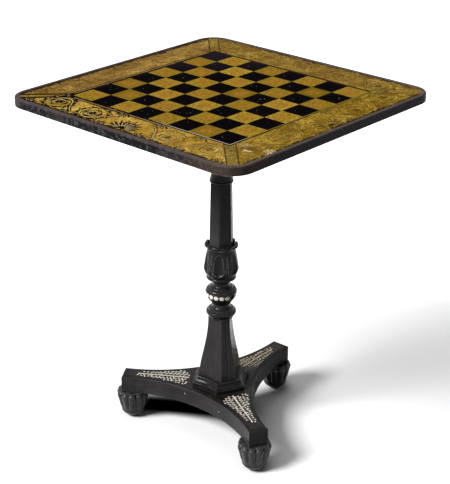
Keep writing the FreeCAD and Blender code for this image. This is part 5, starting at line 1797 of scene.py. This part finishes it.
@dataclass
class Base(Assembly):
    """Platform with its inlaid legs, carved feet and small bone pegs."""

    peg_rings: tuple[tuple[float, float], ...] = ((1.1, -0.5), (1.1, 0.1), (0.66, 0.35))  # radius, proud
    peg_sides: int = 12
    peg_places: tuple[tuple[float, float], ...] = ((99.9, 86.4), (82.6, 80.0))

    def build(self, nodes: Nodes) -> None:
        """Finish the base and lay its inlay.

        Args:
            nodes: the frame's nodes.
        """
        platform = BlackWood(
            "platform_black",
            grain=Grain.ALONG_X,
            rub_and_highlight=0.7,
            dust=0.0,
            specular=0.07,
            upper=paint(0.07, 0.058, 0.056),
        )
        panel = BlackWood(
            "panel_ebony",
            grain=Grain.ALONG_X,
            stain=paint(0.09, 0.07, 0.065),
            faded=paint(0.16, 0.125, 0.11),
            rub_and_highlight=0.2,
            dust=0.0,
            upper=paint(0.1, 0.075, 0.065),
        )
        foot = BlackWood(
            "foot_black",
            stain=paint(0.15, 0.145, 0.15),
            faded=paint(0.25, 0.242, 0.255),
            # painted highlight on the lobes' arrises, over their wear
            rubbed_and_highlit=paint(0.66, 0.64, 0.64),
            rub_and_highlight=1.7,
            dust=0.06,
            gloss=0.14,
            specular=0.22,
        )
        white = Bone("scroll_bone", soiled=0.2, main=paint(0.97, 0.95, 0.9), other=paint(0.9, 0.87, 0.79))
        dull = Bone("scroll_bone_dull", soiled=0.4, main=paint(0.84, 0.8, 0.7), other=paint(0.68, 0.62, 0.5))
        self.dress(nodes, platform, "platform")
        for leg in Leg:
            self.dress(nodes, panel, leg.named("leg_panel"))
            self.dress(nodes, foot, leg.named("foot"))
            self.keep(LegInlay(leg).build(), Body.BASE, "bone", dull if leg is Leg.BACK else white)
        for number, (turn, height) in enumerate(self.peg_places, 1):
            self.keep(self.peg(number, turn, height), Body.BASE, "bone", white)

    def peg(self, number: int, turn: float, height: float) -> bpy.types.Object:
        """Turn a small peg in the platform's hollow side between the left and front legs.

        Args:
            number: its number in its name.
            turn: its place round the hollow's own middle, in degrees.
            height: above the floor.

        Returns:
            The new piece.
        """
        centre = hollow_centre()
        inward = heading(turn)
        flat = heading(Leg.LEFT.value + 60.0, centre) + inward * (centre - HOLLOW_REACH)
        outside = Vector((*flat, height))
        axis = Vector((*-inward, 0.0))
        up = Vector((0.0, 0.0, 1.0))
        across = axis.cross(up)
        sides = self.peg_sides
        points = []
        for radius, proud in self.peg_rings:
            for index in range(sides):
                spoke = heading(360.0 * index / sides, radius)
                points.append((outside + across * spoke.x + up * spoke.y + axis * proud) * MM)
        faces: list[tuple[int, ...]] = [tuple(range(len(points) - sides, len(points)))]
        for ring in range(len(self.peg_rings) - 1):
            for index in range(sides):
                a = ring * sides + index
                b = ring * sides + (index + 1) % sides
                faces.append((a, b, b + sides, a + sides))
        mesh = bpy.data.meshes.new("bone_peg_" + str(number))
        mesh.from_pydata(points, [], faces)
        return put(mesh.name, mesh)


# ------------------------------------------------------------------ studio
@dataclass
class Studio:
    """Floor, lamp, surroundings and camera."""

    floor_half: float = 30.0
    floor_white: float = 0.94
    floor_return: float = 0.18  # share of the light that the floor throws back on the table
    floor_lift: float = 0.25  # brightness left in the floor's shadow, where the floor is seen
    floor_lift_far: float = 0.68  # the same, away from the table
    floor_crease: float = 0.3  # how far above the floor a thing still darkens it
    shade_along: Band = (-0.09, 0.0, 0.168, 0.218)  # deep shade by the left leg, out along the leg
    shade_beside: Band = (-0.008, 0.024, 0.06, 0.135)  # the same, sideways from the leg's middle
    key_angle: float = 251.0
    key_height: float = 42.0
    key_width: float = 24.0
    key_strength: float = 4.4
    sky: float = 0.09
    camera_place: tuple[float, float, float] = (1.66143, -1.83487, 1.5342)
    camera_tilt: tuple[float, float, float] = (65.751, -0.27, 41.99)
    camera_lens: float = 100.35
    camera_shift: tuple[float, float] = (-0.00541, 0.00023)
    white: Colour = (1.0, 1.0, 1.0, 1.0)
    black: Colour = (0.0, 0.0, 0.0, 1.0)

    def build(self) -> None:
        """Set up the whole studio."""
        self.floor()
        self.key()
        self.surroundings()
        self.camera()
        bpy.context.scene.view_settings.view_transform = "Standard"

    def seen_directly(self, tree: Tree) -> Socket:
        """Tell what is seen from what only lights the table.

        Args:
            tree: a material's or the world's tree.

        Returns:
            1 for what the camera sees, directly, mirrored or through glass.
        """
        path = tree.add("LightPath").outputs
        mirrored = tree.calc("MAXIMUM", path["Is Glossy Ray"], path["Is Transmission Ray"])
        return tree.calc("MAXIMUM", path["Is Camera Ray"], mirrored)

    def floor(self) -> None:
        """Lay a white floor that keeps the table's shadow."""
        half = self.floor_half
        mesh = bpy.data.meshes.new("studio_floor")
        corners = [(-half, -half, 0.0), (half, -half, 0.0), (half, half, 0.0), (-half, half, 0.0)]
        mesh.from_pydata(corners, [], [(0, 1, 2, 3)])
        mesh.materials.append(self.floor_material())
        put("studio_floor", mesh)

    def floor_material(self) -> bpy.types.Material:
        """Make the floor's white: matt in the light, and lifted a little in the shadow.

        Returns:
            The new material.
        """
        material = bpy.data.materials.new("studio_floor_white")
        material.use_nodes = True
        tree = Tree(material.node_tree)
        bright, returned = ((share, share, share, 1.0) for share in (self.floor_white, self.floor_return))
        shaded = self.shade_by_leg(tree)
        matt = tree.add("BsdfDiffuse", {"Color": tree.blend(shaded, bright, self.black)}).outputs[0]
        bare = tree.step(tree.open_air(self.floor_crease, samples=16, only_local=False), 0.5, 0.88)
        away = tree.add("VectorMath", {0: tree.place()}, operation="LENGTH").outputs["Value"]
        spread = tree.step(away, 0.3, 1.0, (self.floor_lift, self.floor_lift_far))
        strength = tree.times(tree.times(spread, bare), tree.minus(1.0, shaded))
        lift = tree.add("Emission", {"Color": self.white, "Strength": strength}).outputs[0]
        lifted = tree.add("AddShader", {0: matt, 1: lift}).outputs[0]
        thrown = tree.add("BsdfDiffuse", {"Color": returned}).outputs[0]
        shader = tree.add("MixShader", {0: self.seen_directly(tree), 1: thrown, 2: lifted}).outputs[0]
        tree.add("OutputMaterial", {"Surface": shader})
        return material

    def shade_by_leg(self, tree: Tree) -> Socket:
        """Deep shade on the floor behind the left leg, where neither lamp nor sky reaches.

        Args:
            tree: the floor's tree.

        Returns:
            How deep the shade is, from 0 to 1.
        """
        out = heading(Leg.LEFT.value)
        along = tree.measure("DOT_PRODUCT", tree.place(), (out.x, out.y, 0.0))
        beside_leg = tree.measure("DOT_PRODUCT", tree.place(), (out.y, -out.x, 0.0))
        return tree.times(tree.band(beside_leg, self.shade_beside), tree.band(along, self.shade_along))

    def key(self) -> None:
        """Hang the lamp: so far off that it lights the floor evenly, and broad enough for soft shadows."""
        data = bpy.data.lights.new("key", "SUN")
        data.energy = self.key_strength
        data.angle = math.radians(self.key_width)
        rise = math.radians(self.key_height)
        towards = Vector((*heading(self.key_angle, math.cos(rise)), math.sin(rise)))
        put("key", data).rotation_euler = towards.to_track_quat("Z", "Y").to_euler()

    def surroundings(self) -> None:
        """Light the studio evenly, and show it white."""
        world = bpy.data.worlds.new("studio_white")
        bpy.context.scene.world = world
        world.use_nodes = True
        tree = Tree(world.node_tree)
        even = tree.add("Background", {"Color": self.white, "Strength": self.sky}).outputs[0]
        seen = tree.add("Background", {"Color": self.white, "Strength": 1.0}).outputs[0]
        shader = tree.add("MixShader", {0: self.seen_directly(tree), 1: even, 2: seen}).outputs[0]
        tree.add("OutputWorld", {"Surface": shader})

    def camera(self) -> None:
        """Stand the camera."""
        data = bpy.data.cameras.new("camera")
        data.lens = self.camera_lens
        data.sensor_width = 36.0
        data.shift_x, data.shift_y = self.camera_shift
        data.clip_end = 100.0
        camera = put("camera", data)
        camera.location = self.camera_place
        camera.rotation_euler = [math.radians(angle) for angle in self.camera_tilt]
        bpy.context.scene.camera = camera


def main() -> None:
    """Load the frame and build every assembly."""
    logging.basicConfig(level=logging.INFO, format="%(message)s")
    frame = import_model()
    nodes = frame["nodes"]
    Studio().build()
    for assembly in (Border(), Top(), Catch(), Pillar(), Base()):
        assembly.build(nodes)
        assembly.report()
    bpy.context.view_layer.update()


if __name__ == "__main__":
    main()
